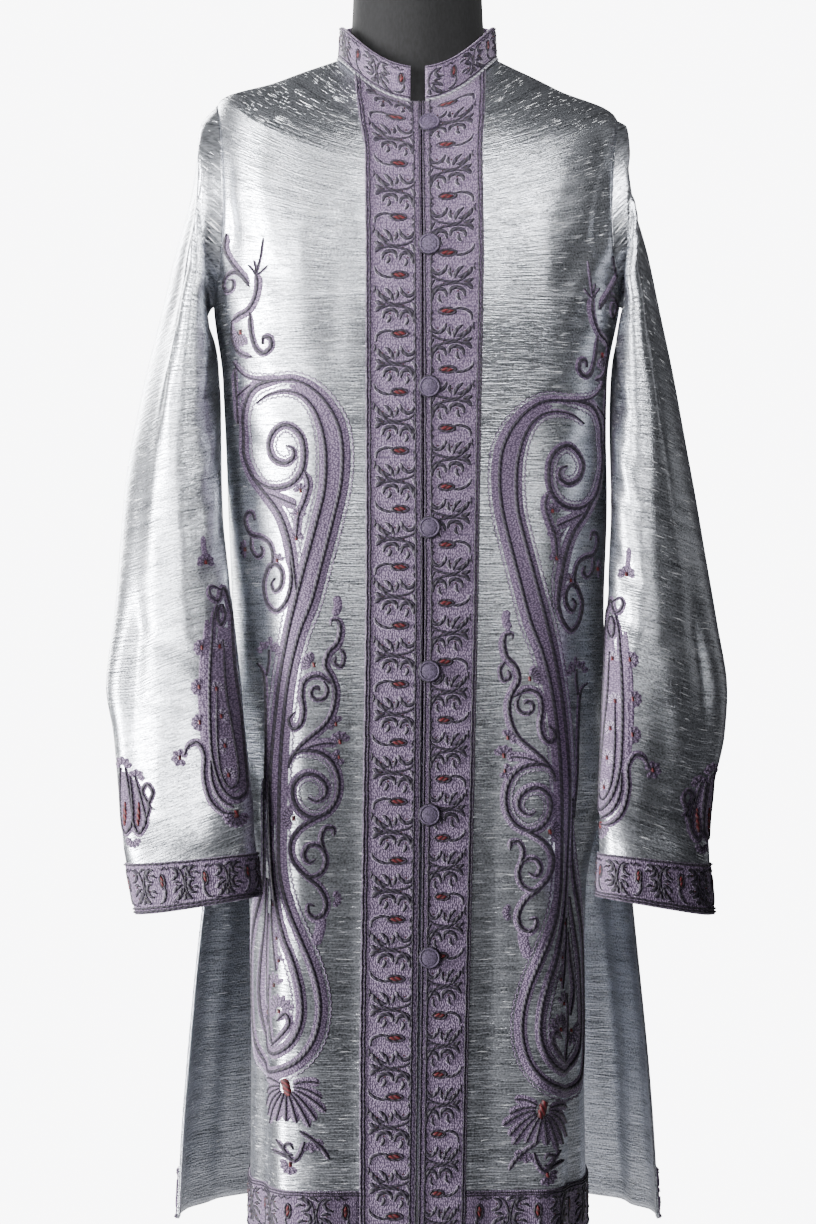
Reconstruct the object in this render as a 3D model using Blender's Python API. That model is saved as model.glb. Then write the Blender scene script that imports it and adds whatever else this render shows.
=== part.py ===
"""Long silk coat with a band collar, embroidered bands and seven covered buttons, worn by a
limbless dress form on a round stand.

Metres, +Z up. The origin is on the floor under the middle of the stand. The coat's front faces
-Y, so the wearer's right side is at -X. Each cloth piece is a thin wall on one shared surface.
"""

import math
from collections import namedtuple

import bmesh
import bpy
import numpy as np
from mathutils import Matrix, Vector
from mathutils.bvhtree import BVHTree

# Cloth walls and the gaps at seams
WALL = 0.0012
BAND_WALL = 0.0010
COLLAR_WALL = 0.0020
GAP = 0.0003
SEAT = 0.0004

# Heights of the embroidered borders
HEM_BAND = 0.044
CUFF_BAND = 0.043

# Band collar: height at the front, side and back, and how far its front ends stand apart
COLLAR_FRONT = 0.032
COLLAR_SIDE = 0.030
COLLAR_BACK = 0.035
COLLAR_LEAN = 0.0015
COLLAR_PARTING = 0.0068
COLLAR_INSET = 0.0009

# Covered buttons: flat discs beside the front opening, one height for each
BUTTON_RADIUS = 0.0087
BUTTON_THICK = 0.0040
BUTTON_OUT = 0.0103
BUTTON_HEIGHTS = (1.357, 1.248, 1.126, 1.004, 0.880, 0.757, 0.635)

# Dress form: where the torso ends, its neck block and its stand
TORSO_BOTTOM = 0.830
FRONT_EASE = 0.0025
NECK_TOP = 1.488
NECK_CAP_THICK = 0.007
NECK_CAP_RADIUS = 0.060
POLE_RADIUS = 0.0125
BASE_RADIUS = 0.180
BASE_THICK = 0.016
HUB_RADIUS = 0.034
HUB_TOP = 0.052

# The coat's levels from the hem to the neckline. At each level a front half and a back half
# run from the centre line to the side: z is the height at the front, side and back, half is the
# half width, y the depth at the centre lines, side the depth of the side edge, square how boxy
# the curve is (2 is an ellipse), curl the degrees that the front turns in past its side, and
# ease the room between the coat and the form. Up to SLIT the side edges hang apart.
Level = namedtuple(
    "Level",
    "z_front z_side z_back half_front half_back y_front side_front side_back y_back"
    " square_front square_back curl ease",
)
LEVELS = (
    Level(0.392, 0.392, 0.392, 0.149, 0.215, -0.152, -0.014, -0.030, 0.150, 3.0, 2.3, 7, 0.02),
    Level(0.529, 0.529, 0.529, 0.147, 0.206, -0.147, -0.013, -0.026, 0.143, 3.0, 2.3, 7, 0.02),
    Level(0.679, 0.679, 0.679, 0.149, 0.191, -0.140, -0.009, -0.014, 0.134, 2.9, 2.3, 5, 0.02),
    Level(0.755, 0.755, 0.755, 0.165, 0.184, -0.135, -0.005, -0.002, 0.129, 2.7, 2.3, 0, 0.02),
    Level(0.800, 0.800, 0.800, 0.177, 0.177, -0.132, 0.000, 0.000, 0.126, 2.6, 2.3, 0, 0.018),
    Level(0.898, 0.898, 0.898, 0.168, 0.168, -0.126, 0.000, 0.000, 0.119, 2.6, 2.3, 0, 0.014),
    Level(1.053, 1.053, 1.053, 0.161, 0.161, -0.114, 0.000, 0.000, 0.101, 2.6, 2.3, 0, 0.012),
    Level(1.135, 1.135, 1.135, 0.167, 0.167, -0.119, 0.000, 0.000, 0.108, 2.6, 2.3, 0, 0.010),
    Level(1.205, 1.205, 1.205, 0.181, 0.181, -0.126, 0.000, 0.000, 0.118, 2.6, 2.4, 0, 0.010),
    Level(1.258, 1.292, 1.278, 0.187, 0.187, -0.123, 0.002, 0.002, 0.117, 2.6, 2.5, 0, 0.008),
    Level(1.318, 1.378, 1.356, 0.179, 0.179, -0.108, 0.004, 0.004, 0.101, 2.6, 2.6, 0, 0.003),
    Level(1.352, 1.402, 1.408, 0.125, 0.125, -0.091, 0.004, 0.004, 0.083, 2.4, 2.4, 0, 0.000),
    Level(1.378, 1.425, 1.442, 0.0715, 0.0715, -0.070, 0.000, 0.000, 0.062, 2.1, 2.1, 0, 0.0025),
)
HEM, SLIT, WAIST, ARMPIT, SHOULDER, NECK = 0, 4, 6, 8, 10, 12
SHOULDER_TILT = 0.007  # the right-hand shoulder in front view is this much lower, the other higher

# The armhole dips this share of the quarter turn towards the centre, half way up
ARMHOLE_DIP = 0.31

# Front opening and the outer edges of the two bands, as distances out from the centre line
Front = namedtuple("Front", "z opening left_band right_band")
FRONTS = (
    Front(0.392, -0.001, 0.050, 0.040),
    Front(0.560, 0.001, 0.050, 0.043),
    Front(0.940, 0.005, 0.045, 0.052),
    Front(1.240, 0.004, 0.045, 0.057),
    Front(1.330, 0.003, 0.046, 0.056),
    Front(1.378, 0.003, 0.056, 0.060),
)
OPENING_HALF_GAP = 0.0007

# Sleeve rings below the armhole, left and right as seen from the front: the outer and inner
# edges as distances from the centre line, each at its own height, and the ring's depth
Ring = namedtuple(
    "Ring", "z_outer z_inner left_outer left_inner right_outer right_inner y_middle half_depth"
)
RINGS = (
    Ring(1.366, 1.2030, 0.1945, 0.1850, 0.1870, 0.1845, 0.002, 0.067),
    Ring(1.340, 1.1980, 0.1980, 0.1875, 0.1890, 0.1855, 0.002, 0.070),
    Ring(1.300, 1.1890, 0.2055, 0.1890, 0.1950, 0.1855, 0.001, 0.073),
    Ring(1.250, 1.1750, 0.2205, 0.1895, 0.2095, 0.1840, 0.000, 0.075),
    Ring(1.190, 1.1500, 0.2335, 0.1895, 0.2215, 0.1815, -0.004, 0.075),
    Ring(1.130, 1.1080, 0.2480, 0.1850, 0.2335, 0.1780, -0.012, 0.072),
    Ring(1.060, 1.0500, 0.2605, 0.1775, 0.2450, 0.1745, -0.026, 0.066),
    Ring(0.985, 0.9800, 0.2660, 0.1690, 0.2560, 0.1700, -0.046, 0.058),
    Ring(0.925, 0.9200, 0.2690, 0.1615, 0.2648, 0.1655, -0.067, 0.051),
    Ring(0.868, 0.8660, 0.2735, 0.1535, 0.2722, 0.1620, -0.090, 0.044),
    Ring(0.825, 0.8220, 0.2665, 0.1490, 0.2680, 0.1600, -0.105, 0.039),
    Ring(0.778, 0.7750, 0.2610, 0.1440, 0.2570, 0.1575, -0.117, 0.035),
    Ring(0.728, 0.7350, 0.2540, 0.1400, 0.2515, 0.1560, -0.128, 0.032),
    Ring(0.672, 0.6880, 0.2420, 0.1350, 0.2540, 0.1530, -0.139, 0.030),
)
RING_SQUARE = 2.3
SIDES = {"left": -1, "right": 1}  # as seen from the front

# The largest folds of the body panels: centre and half width as shares of the quarter turn,
# depth of the trough (a crest is negative), and the levels where it starts and is fullest
Fold = namedtuple("Fold", "face side turn width depth start full")
FOLDS = (
    Fold("front", "left", 0.60, 0.14, 0.007, 6.0, 1.0),
    Fold("front", "right", 0.57, 0.14, 0.008, 6.5, 1.0),
    Fold("front", "left", 0.40, 0.10, -0.003, 5.5, 1.0),
    Fold("front", "right", 0.38, 0.10, -0.003, 5.5, 1.0),
    Fold("back", "left", 0.30, 0.13, 0.009, 6.2, 0.8),
    Fold("back", "right", 0.36, 0.13, 0.008, 6.0, 0.8),
    Fold("back", "left", 0.72, 0.12, 0.006, 5.5, 0.8),
    Fold("back", "right", 0.75, 0.12, 0.007, 5.5, 0.8),
)
# The sleeves' largest folds: the angle from the outer edge (positive is the front), its half
# width in degrees, the trough's depth, and the rings where it starts, is deepest and ends
Tuck = namedtuple("Tuck", "angle width depth start deepest end")
TUCKS = (
    Tuck(78, 34, 0.011, 0.4, 2.6, 6.0),
    Tuck(-75, 34, 0.009, 0.4, 2.8, 6.0),
    Tuck(55, 30, 0.004, 8.2, 9.6, 11.2),
    Tuck(128, 26, 0.004, 6.5, 8.6, 10.4),
)

# Rings of the form's neck: half width, depth and height at the front, side and back
NeckRing = namedtuple("NeckRing", "half y_front y_back z_front z_side z_back")
NECK_RINGS = (
    NeckRing(0.0620, -0.0600, 0.0545, 1.395, 1.436, 1.452),
    NeckRing(0.0590, -0.0570, 0.0540, 1.430, 1.456, 1.464),
    NeckRing(0.0575, -0.0560, 0.0535, NECK_TOP, NECK_TOP, NECK_TOP),
)

# Grid of the solids: columns under a band and beside it, and rows of the armhole
BAND_COLUMNS = 3
PANEL_COLUMNS = 8
ARMHOLE_ROWS = 10
EDGE_STEP = 0.02  # the share of a turn over which a panel's edge is measured


def smooth_rows(table, at):
    """The table's columns at row number at, on a curve that never overshoots its rows."""
    values = np.array(table, float)
    step = np.diff(values, axis=0)
    inner = np.where(step[:-1] * step[1:] > 0, 2 * step[:-1] * step[1:], 0.0)
    total = step[:-1] + step[1:]
    slope = np.zeros_like(values)
    slope[1:-1] = inner / np.where(inner != 0, total, 1.0)
    slope[0], slope[-1] = step[0], step[-1]
    row = int(min(max(math.floor(at), 0), len(values) - 2))
    t = at - row
    return (
        (1 + 2 * t) * (1 - t) ** 2 * values[row]
        + t * (1 - t) ** 2 * slope[row]
        + t * t * (3 - 2 * t) * values[row + 1]
        + t * t * (t - 1) * slope[row + 1]
    )


def bump(distance, width):
    """1 at distance 0, falling smoothly to 0 at width."""
    return math.cos(min(abs(distance) / width, 1.0) * math.pi / 2) ** 2


def power(value, exponent):
    return math.copysign(abs(value) ** exponent, value)


def level_at_height(z):
    """The level number whose front is at height z."""
    steps = np.linspace(HEM, NECK, 481)
    return float(np.interp(z, [smooth_rows(LEVELS, at)[0] for at in steps], steps))


def curve(face, row):
    """A level's half width, depth and height at the middle, side depth, squareness and curl."""
    if face == "front":
        return row.half_front, row.y_front, row.z_front, row.side_front, row.square_front, row.curl
    return row.half_back, row.y_back, row.z_back, row.side_back, row.square_back, 0.0


def coat_point(face, side, level, turn):
    """A point of the coat's outer surface. turn runs from 0 at the centre line to 1 at the side."""
    row = Level(*smooth_rows(LEVELS, level))
    half, y_middle, z_middle, y_side, square, curl = curve(face, row)
    angle = math.radians(turn * (90 + curl))
    across, along = power(math.sin(angle), 2 / square), power(math.cos(angle), 2 / square)
    shoulder = min(max((level - ARMPIT) / (SHOULDER - ARMPIT), 0.0), 1.0)
    shoulder *= min(max((NECK - level) / (NECK - SHOULDER), 0.0), 1.0)
    tilt = -SIDES[side] * SHOULDER_TILT * shoulder
    x = half * across
    y = y_side + (y_middle - y_side) * along
    z = z_middle + (row.z_side + tilt - z_middle) * across * across
    depth = fold_depth(face, side, level, turn)
    out = math.hypot(across / half, along / abs(y_middle))
    x -= depth * across / half / out
    y -= depth * math.copysign(abs(along) / abs(y_middle) / out, y_middle)
    return np.array([SIDES[side] * x, y, z])


def fold_depth(face, side, level, turn):
    """How far the folds draw the cloth in at this point."""
    depth = 0.0
    for fold in FOLDS:
        if fold.face == face and fold.side == side and level < fold.start:
            fullness = min((fold.start - level) / (fold.start - fold.full), 1.0)
            fullness = fullness * fullness * (3 - 2 * fullness)
            depth += fold.depth * fullness * bump(turn - fold.turn, fold.width)
    return depth


def turn_of(face, level, out):
    """The turn at which the coat lies this far out from its centre line."""
    half, _, _, _, square, curl = curve(face, Level(*smooth_rows(LEVELS, level)))
    share = min(abs(out) / half, 1.0) ** (square / 2)
    return math.copysign(math.degrees(math.asin(share)) / (90 + curl), out)


def front_lines(level):
    """How far out the opening and the two bands' outer edges lie at this level."""
    z = smooth_rows(LEVELS, level)[0]
    heights = [row.z for row in FRONTS]
    return [float(np.interp(z, heights, [row[i] for row in FRONTS])) for i in (1, 2, 3)]


def edge_turn(level):
    """Where a panel ends: the side seam, the shoulder seam or the armhole between them."""
    share = (level - ARMPIT) / (SHOULDER - ARMPIT)
    if not 0 < share < 1:
        return 1.0
    return 1 - ARMHOLE_DIP * math.sqrt(4 * share * (1 - share))


def armhole_levels():
    """Levels from the armpit to the shoulder, closest together at both ends."""
    return [
        ARMPIT + (SHOULDER - ARMPIT) * (1 - math.cos(math.pi * k / ARMHOLE_ROWS)) / 2
        for k in range(ARMHOLE_ROWS + 1)
    ]


def panel_levels():
    """The rows of the body panels: the hem, its border's top and on up to the neckline."""
    skirt = [0, level_at_height(LEVELS[HEM].z_front + HEM_BAND), 1, 2, 3]
    body = list(np.arange(SLIT, ARMPIT, 0.5))
    return skirt + body + armhole_levels() + [SHOULDER + 2 / 3, SHOULDER + 4 / 3, NECK]


def seam_inset(face, side, level):
    """The share of a turn that keeps the seam's gap beside the panel's edge."""
    near = coat_point(face, side, level, 1.0)
    far = coat_point(face, side, level, 1.0 - EDGE_STEP)
    return GAP / 2 * EDGE_STEP / float(np.linalg.norm(near - far))


def front_turns(side, level):
    """The columns of a front at this level: under its band, then beside it."""
    opening, left_band, right_band = front_lines(level)
    start = SIDES[side] * opening + OPENING_HALF_GAP
    band = left_band if side == "left" else right_band
    under = [start + (band - start) * k / BAND_COLUMNS for k in range(BAND_COLUMNS + 1)]
    turns = [turn_of("front", level, out) for out in under]
    end = edge_turn(level) - seam_inset("front", side, level)
    return turns + list(np.linspace(turns[-1], end, PANEL_COLUMNS + 1)[1:])


def back_turns(side, level):
    end = edge_turn(level) - seam_inset("back", side, level)
    return list(np.linspace(0.0, end, BAND_COLUMNS + PANEL_COLUMNS + 1))


def front_grid(side):
    rows = []
    for at in panel_levels():
        rows.append([coat_point("front", side, at, turn) for turn in front_turns(side, at)])
    return np.array(rows)


def back_grid():
    rows = []
    for at in panel_levels():
        left = [coat_point("back", "left", at, turn) for turn in back_turns("left", at)]
        right = [coat_point("back", "right", at, turn) for turn in back_turns("right", at)]
        rows.append(left[::-1] + right[1:])
    return np.array(rows)


def outward(grid, closed=False):
    """Unit normals of a grid of points, pointing away from its middle."""
    down = np.gradient(grid, axis=0)
    if closed:
        along = np.roll(grid, -1, axis=1) - np.roll(grid, 1, axis=1)
    else:
        along = np.gradient(grid, axis=1)
    normals = np.cross(down, along)
    normals /= np.maximum(np.linalg.norm(normals, axis=2, keepdims=True), 1e-12)
    middle = grid.reshape(-1, 3).mean(axis=0)
    if (normals * (grid - middle)).sum() < 0:
        normals = -normals
    return normals


def new_object(name, verts, faces, material):
    """A solid from its corners and faces, with the faces turned outwards."""
    mesh = bpy.data.meshes.new(name)
    mesh.from_pydata([tuple(v) for v in verts], [], faces)
    mesh.materials.append(material)
    mesh.update()
    sized = bmesh.new()
    sized.from_mesh(mesh)
    if sized.calc_volume(signed=True) < 0:
        bmesh.ops.reverse_faces(sized, faces=sized.faces)
    sized.to_mesh(mesh)
    sized.free()
    mesh.shade_smooth()
    mesh.set_sharp_from_angle(angle=math.radians(40))
    obj = bpy.data.objects.new(name, mesh)
    bpy.context.scene.collection.objects.link(obj)
    return obj


def cloth(name, outer, inner, material, closed=False, middle=0):
    """A wall between two grids of the same shape. Both sides are cut along the same diagonals,
    which run outwards from the middle column."""
    rows, columns = outer.shape[:2]
    verts = np.concatenate([outer.reshape(-1, 3), inner.reshape(-1, 3)])
    other = rows * columns
    spans = columns if closed else columns - 1
    faces = []

    def quad(a, b, c, d):
        faces.extend([(a, b, c), (a, c, d)])

    for i in range(rows - 1):
        above, below = i * columns, (i + 1) * columns
        for j in range(spans):
            k = (j + 1) % columns
            a, b, c, d = above + j, below + j, below + k, above + k
            if j < middle:
                a, b, c, d = b, c, d, a
            quad(a, b, c, d)
            faces.extend([(other + c, other + b, other + a), (other + d, other + c, other + a)])
    for j in range(spans):
        k = (j + 1) % columns
        quad(j, k, other + k, other + j)
        a, b = (rows - 1) * columns + j, (rows - 1) * columns + k
        quad(b, a, other + a, other + b)
    if not closed:
        for i in range(rows - 1):
            a, b = i * columns, (i + 1) * columns
            quad(b, a, other + a, other + b)
            a, b = a + columns - 1, b + columns - 1
            quad(a, b, other + b, other + a)
    return new_object(name, verts, faces, material)


def layer(name, grid, normals, material, closed=False, middle=0):
    """A band that lies on a wall: the wall's own points, moved out."""
    lower = grid + GAP * normals
    return cloth(name, lower + BAND_WALL * normals, lower, material, closed, middle)


def revolved(name, profile, steps, material):
    """A solid of revolution about the Z axis, from (radius, height) pairs."""
    verts, rings, faces = [], [], []
    for radius, height in profile:
        count = steps if radius else 1
        rings.append(range(len(verts), len(verts) + count))
        for k in range(count):
            angle = math.tau * k / steps
            verts.append((radius * math.cos(angle), radius * math.sin(angle), height))
    for low, high in zip(rings, rings[1:]):
        for k in range(steps):
            m = (k + 1) % steps
            corners = low[k % len(low)], low[m % len(low)], high[m % len(high)], high[k % len(high)]
            faces.append(tuple(dict.fromkeys(corners)))
    return new_object(name, verts, faces, material)


def finish(name, colour, roughness, metallic=0.0):
    material = bpy.data.materials.new(name)
    material.use_nodes = True
    shader = material.node_tree.nodes["Principled BSDF"]
    shader.inputs["Base Color"].default_value = (*colour, 1)
    shader.inputs["Roughness"].default_value = roughness
    shader.inputs["Metallic"].default_value = metallic
    material.diffuse_color = (*colour, 1)
    return material


def square_armhole(face, side, normals, column):
    """Gives the panel's edge along the armhole the same normals as the sleeve's edge."""
    edge_normals = armhole_loop(side)[2]
    first = panel_levels().index(ARMPIT)
    for k in range(ARMHOLE_ROWS + 1):
        loop = ARMHOLE_ROWS - k if face == "front" else (ARMHOLE_ROWS + k) % (2 * ARMHOLE_ROWS)
        normals[first + k, column] = edge_normals[loop]


def build_fronts(silk, embroidery):
    """The two fronts, the bands beside the opening and the borders along their hems."""
    bands = []
    for side, wearer in (("left", "right"), ("right", "left")):
        grid = front_grid(side)
        normals = outward(grid)
        square_armhole("front", side, normals, -1)
        cloth(f"front_{wearer}", grid, grid - WALL * normals, silk)
        band = slice(0, BAND_COLUMNS + 1)
        bands.append(layer(f"front_band_{wearer}", grid[:, band], normals[:, band], embroidery))
        hem = grid[:2, BAND_COLUMNS:].copy()
        beside = hem[:, 1] - hem[:, 0]
        hem[:, 0] += GAP * beside / np.linalg.norm(beside, axis=1)[:, None]
        layer(f"hem_band_front_{wearer}", hem, normals[:2, BAND_COLUMNS:], embroidery)
    return bands


def build_back(silk, embroidery):
    """The back and the border along its hem."""
    grid = back_grid()
    middle = grid.shape[1] // 2
    normals = outward(grid)
    square_armhole("back", "left", normals, 0)
    square_armhole("back", "right", normals, -1)
    cloth("back", grid, grid - WALL * normals, silk, middle=middle)
    layer("hem_band_back", grid[:2], normals[:2], embroidery, middle=middle)


def armhole_loop(side):
    """The armhole's edge from the shoulder down the front to the armpit and up the back, the
    directions that lead away from the panels, and the normals of both cut edges."""
    levels = armhole_levels()
    loop = [("front", at) for at in levels[::-1]] + [("back", at) for at in levels[1:-1]]
    edge = np.array([coat_point(face, side, at, edge_turn(at)) for face, at in loop])
    inner = np.array([coat_point(face, side, at, edge_turn(at) - EDGE_STEP) for face, at in loop])
    along = np.roll(edge, -1, axis=0) - np.roll(edge, 1, axis=0)
    away = edge - inner
    away[0], away[ARMHOLE_ROWS] = (SIDES[side] * 0.75, 0, -0.65), (0, 0, 1)
    away -= along * ((away * along).sum(axis=1) / (along * along).sum(axis=1))[:, None]
    away /= np.linalg.norm(away, axis=1)[:, None]
    normals = np.cross(along, away)
    normals *= np.sign(normals[0, 2]) / np.linalg.norm(normals, axis=1)[:, None]
    return edge, away, normals


def sleeve_rings(side):
    """The armhole and the rings under it, each with the same number of points."""
    edge, away, _ = armhole_loop(side)
    rings = [edge + GAP * away]
    for row in RINGS:
        outer = row.left_outer if side == "left" else row.right_outer
        inner = row.left_inner if side == "left" else row.right_inner
        top = np.array([SIDES[side] * outer, row.y_middle, row.z_outer])
        bottom = np.array([SIDES[side] * inner, row.y_middle, row.z_inner])
        ring = []
        for k in range(2 * ARMHOLE_ROWS):
            angle = math.pi * k / ARMHOLE_ROWS
            up = power(math.cos(angle), 2 / RING_SQUARE)
            forward = power(math.sin(angle), 2 / RING_SQUARE)
            point = (top + bottom) / 2 + (top - bottom) / 2 * up
            ring.append(point - np.array([0, row.half_depth * forward, 0]))
        rings.append(np.array(ring))
    return rings


def tuck_depth(at, angle):
    """How far the tucks draw the sleeve in at this ring and angle."""
    depth = 0.0
    for tuck in TUCKS:
        span = tuck.deepest - tuck.start if at < tuck.deepest else tuck.end - tuck.deepest
        depth += tuck.depth * bump(at - tuck.deepest, span) * bump(angle - tuck.angle, tuck.width)
    return depth


def sleeve_grid(side, at_rings):
    """A sleeve's points and normals at the given ring numbers, its folds included."""
    rings = np.array(sleeve_rings(side))
    table = rings.reshape(len(rings), -1)
    grid = np.array([smooth_rows(table, at).reshape(-1, 3) for at in at_rings])
    normals = outward(grid, closed=True)
    for i, at in enumerate(at_rings):
        for k in range(grid.shape[1]):
            angle = (k * 180 / ARMHOLE_ROWS + 180) % 360 - 180
            grid[i, k] -= tuck_depth(at, angle) * normals[i, k]
    normals = outward(grid, closed=True)
    normals[0] = armhole_loop(side)[2]
    return grid, normals


def build_sleeves(silk, embroidery):
    """The sleeves and the embroidered bands round their cuffs."""
    last = len(RINGS)
    cuff_length = RINGS[-2].z_outer - RINGS[-1].z_outer
    cuff_start = last - CUFF_BAND / cuff_length
    at_rings = [*range(last), cuff_start, last]
    for side, wearer in (("left", "right"), ("right", "left")):
        grid, normals = sleeve_grid(side, at_rings)
        cloth(f"sleeve_{wearer}", grid, grid - WALL * normals, silk, closed=True)
        layer(f"cuff_band_{wearer}", grid[-2:], normals[-2:], embroidery, closed=True)


def build_collar(embroidery):
    """The band collar, which stands on the neckline from one front edge round to the other."""
    bottom, top = [], []
    parting = [turn_of("front", NECK, COLLAR_PARTING)]
    for side, face, turns in (
        ("left", "front", parting + front_turns("left", NECK)[1:-1] + [1.0]),
        ("left", "back", back_turns("left", NECK)[-2::-1]),
        ("right", "back", back_turns("right", NECK)[1:-1] + [1.0]),
        ("right", "front", front_turns("right", NECK)[-2:0:-1] + parting),
    ):
        for turn in turns:
            foot = coat_point(face, side, NECK, turn)
            share = math.sin(math.radians(turn * 90)) ** 2
            end_height = COLLAR_FRONT if face == "front" else COLLAR_BACK
            height = end_height + (COLLAR_SIDE - end_height) * share
            inward = -np.array([foot[0], foot[1], 0]) / math.hypot(foot[0], foot[1])
            bottom.append(foot + inward * COLLAR_INSET + np.array([0, 0, 2 * GAP]))
            top.append(foot + inward * (COLLAR_INSET + COLLAR_LEAN) + np.array([0, 0, height]))
    bottom, top = np.array(bottom), np.array(top)
    grid = np.array([bottom, (bottom + top) / 2, top])
    return cloth("collar", grid, grid - COLLAR_WALL * outward(grid), embroidery)


def button_place(trees, height):
    """A matrix that lays a button on the bands: flat on the one it is sewn to, clear of both."""
    start = Vector((BUTTON_OUT, -1, height))
    forward = Vector((0, 1, 0))
    point, normal, _, _ = trees[1].ray_cast(start, forward)
    z_axis = normal.normalized()
    x_axis = (Vector((1, 0, 0)) - z_axis * z_axis.x).normalized()
    y_axis = z_axis.cross(x_axis)
    lift = 0.0
    for step in range(16):
        angle = math.tau * step / 16
        rim = point + BUTTON_RADIUS * (x_axis * math.cos(angle) + y_axis * math.sin(angle))
        for tree in trees:
            hit = tree.ray_cast(rim + z_axis * 0.1, -z_axis)[0]
            if hit:
                lift = max(lift, (hit - rim).dot(z_axis))
    foot = point + z_axis * (lift + GAP)
    place = Matrix((x_axis, y_axis, z_axis)).transposed().to_4x4()
    place.translation = foot
    return place


def build_buttons(covered, bands):
    """Flat covered buttons on the wearer's left band, bevelled at the rim."""
    graph = bpy.context.evaluated_depsgraph_get()
    trees = [BVHTree.FromObject(band, graph) for band in bands]
    profile = [
        (BUTTON_RADIUS * across, BUTTON_THICK * up)
        for across, up in ((0, 0), (0.86, 0), (1, 0.3), (1, 0.7), (0.86, 1), (0, 1))
    ]
    for number, height in enumerate(BUTTON_HEIGHTS, 1):
        button = revolved(f"button_{number}", profile, 16, covered)
        button.matrix_world = button_place(trees, height)


def form_ring(level):
    """One ring of the torso as (face, side, turn), from the front centre line by the left."""
    ring = []
    for side, face, towards in (
        ("left", "front", 1),
        ("left", "back", -1),
        ("right", "back", 1),
        ("right", "front", -1),
    ):
        turns = list(np.linspace(0.0, 1.0, BAND_COLUMNS + PANEL_COLUMNS + 1))
        if face == "front":
            under = front_turns(side, level)[: BAND_COLUMNS + 1]
            turns = [0.0] + under[1:] + list(np.linspace(under[-1], 1.0, PANEL_COLUMNS + 1)[1:])
        ring += [(face, side, turn) for turn in turns[::towards][:-1]]
    return ring


def build_form(jersey):
    """The torso with its shoulders and neck: the coat's surface moved in, closed smooth."""
    bottom = level_at_height(TORSO_BOTTOM)
    levels = [bottom, 5, 5.5, 6, 6.5, 7, 7.5] + armhole_levels()[::2]
    levels += [SHOULDER + 2 / 3, SHOULDER + 4 / 3, NECK]
    rows = [[coat_point(face, side, at, turn) for face, side, turn in form_ring(at)] for at in levels]
    grid = np.array(rows)
    normals = outward(grid, closed=True)
    for i, at in enumerate(levels):
        ease = max(smooth_rows(LEVELS, at)[-1], 0.0)
        for k, (_, _, turn) in enumerate(form_ring(at)):
            inset = WALL + SEAT + ease + FRONT_EASE * (1 - turn) ** 2
            grid[i, k] -= inset * normals[i, k]
    grid[0, :, 2] = TORSO_BOTTOM
    neck = []
    for row in NECK_RINGS:
        ring = []
        for face, side, turn in form_ring(NECK):
            across, along = math.sin(math.radians(turn * 90)), math.cos(math.radians(turn * 90))
            y, z = (row.y_front, row.z_front) if face == "front" else (row.y_back, row.z_back)
            ring.append([SIDES[side] * row.half * across, y * along, z + (row.z_side - z) * across**2])
        neck.append(ring)
    grid = np.concatenate([grid, np.array(neck)])
    rings, columns = grid.shape[:2]
    verts = list(grid.reshape(-1, 3)) + [grid[0].mean(axis=0), grid[-1].mean(axis=0)]
    low, high = len(verts) - 2, len(verts) - 1
    faces = []
    quarter = columns // 4
    for i in range(rings - 1):
        above, below = i * columns, (i + 1) * columns
        for j in range(columns):
            k = (j + 1) % columns
            a, b, c, d = above + j, below + j, below + k, above + k
            # The diagonals run outwards from both centre lines, as the coat's own do.
            outwards = j // quarter in (0, 2)
            faces += [(a, b, c), (a, c, d)] if outwards else [(a, b, d), (b, c, d)]
    top = (rings - 1) * columns
    for j in range(columns):
        k = (j + 1) % columns
        faces += [(low, j, k), (high, top + k, top + j)]
    new_object("form_torso", verts, faces, jersey)


def build_stand(lacquer, steel):
    """The neck's cap, the pole and the round base with its hub."""
    revolved(
        "form_neck_cap",
        (
            (0, NECK_TOP + GAP),
            (NECK_CAP_RADIUS - 0.002, NECK_TOP + GAP),
            (NECK_CAP_RADIUS, NECK_TOP + GAP + 0.002),
            (NECK_CAP_RADIUS, NECK_TOP + NECK_CAP_THICK - 0.002),
            (NECK_CAP_RADIUS - 0.003, NECK_TOP + NECK_CAP_THICK),
            (0, NECK_TOP + NECK_CAP_THICK),
        ),
        32,
        lacquer,
    )
    revolved(
        "stand_pole",
        (
            (0, HUB_TOP + GAP),
            (POLE_RADIUS, HUB_TOP + GAP),
            (POLE_RADIUS, TORSO_BOTTOM - GAP),
            (0, TORSO_BOTTOM - GAP),
        ),
        24,
        steel,
    )
    revolved(
        "stand_base",
        (
            (0, 0),
            (BASE_RADIUS - 0.003, 0),
            (BASE_RADIUS, 0.003),
            (BASE_RADIUS, BASE_THICK - 0.006),
            (BASE_RADIUS - 0.006, BASE_THICK),
            (HUB_RADIUS + 0.006, BASE_THICK + 0.004),
            (HUB_RADIUS, BASE_THICK + 0.010),
            (HUB_RADIUS - 0.010, HUB_TOP),
            (0, HUB_TOP),
        ),
        48,
        lacquer,
    )


def main():
    for obj in list(bpy.data.objects):
        bpy.data.objects.remove(obj, do_unlink=True)
    silk = finish("raw silk, silver grey", (0.45, 0.46, 0.50), 0.45)
    embroidery = finish("lilac chain-stitch embroidery", (0.27, 0.20, 0.31), 0.85)
    covered = finish("thread-covered button", (0.22, 0.18, 0.27), 0.8)
    jersey = finish("black cotton jersey", (0.01, 0.01, 0.012), 0.9)
    lacquer = finish("black lacquered steel", (0.012, 0.012, 0.014), 0.35)
    steel = finish("brushed steel tube", (0.55, 0.55, 0.56), 0.35, 1.0)
    bands = build_fronts(silk, embroidery)
    build_back(silk, embroidery)
    build_sleeves(silk, embroidery)
    build_collar(embroidery)
    build_buttons(covered, bands)
    build_form(jersey)
    build_stand(lacquer, steel)


main()
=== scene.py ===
import math
from collections import namedtuple

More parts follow.
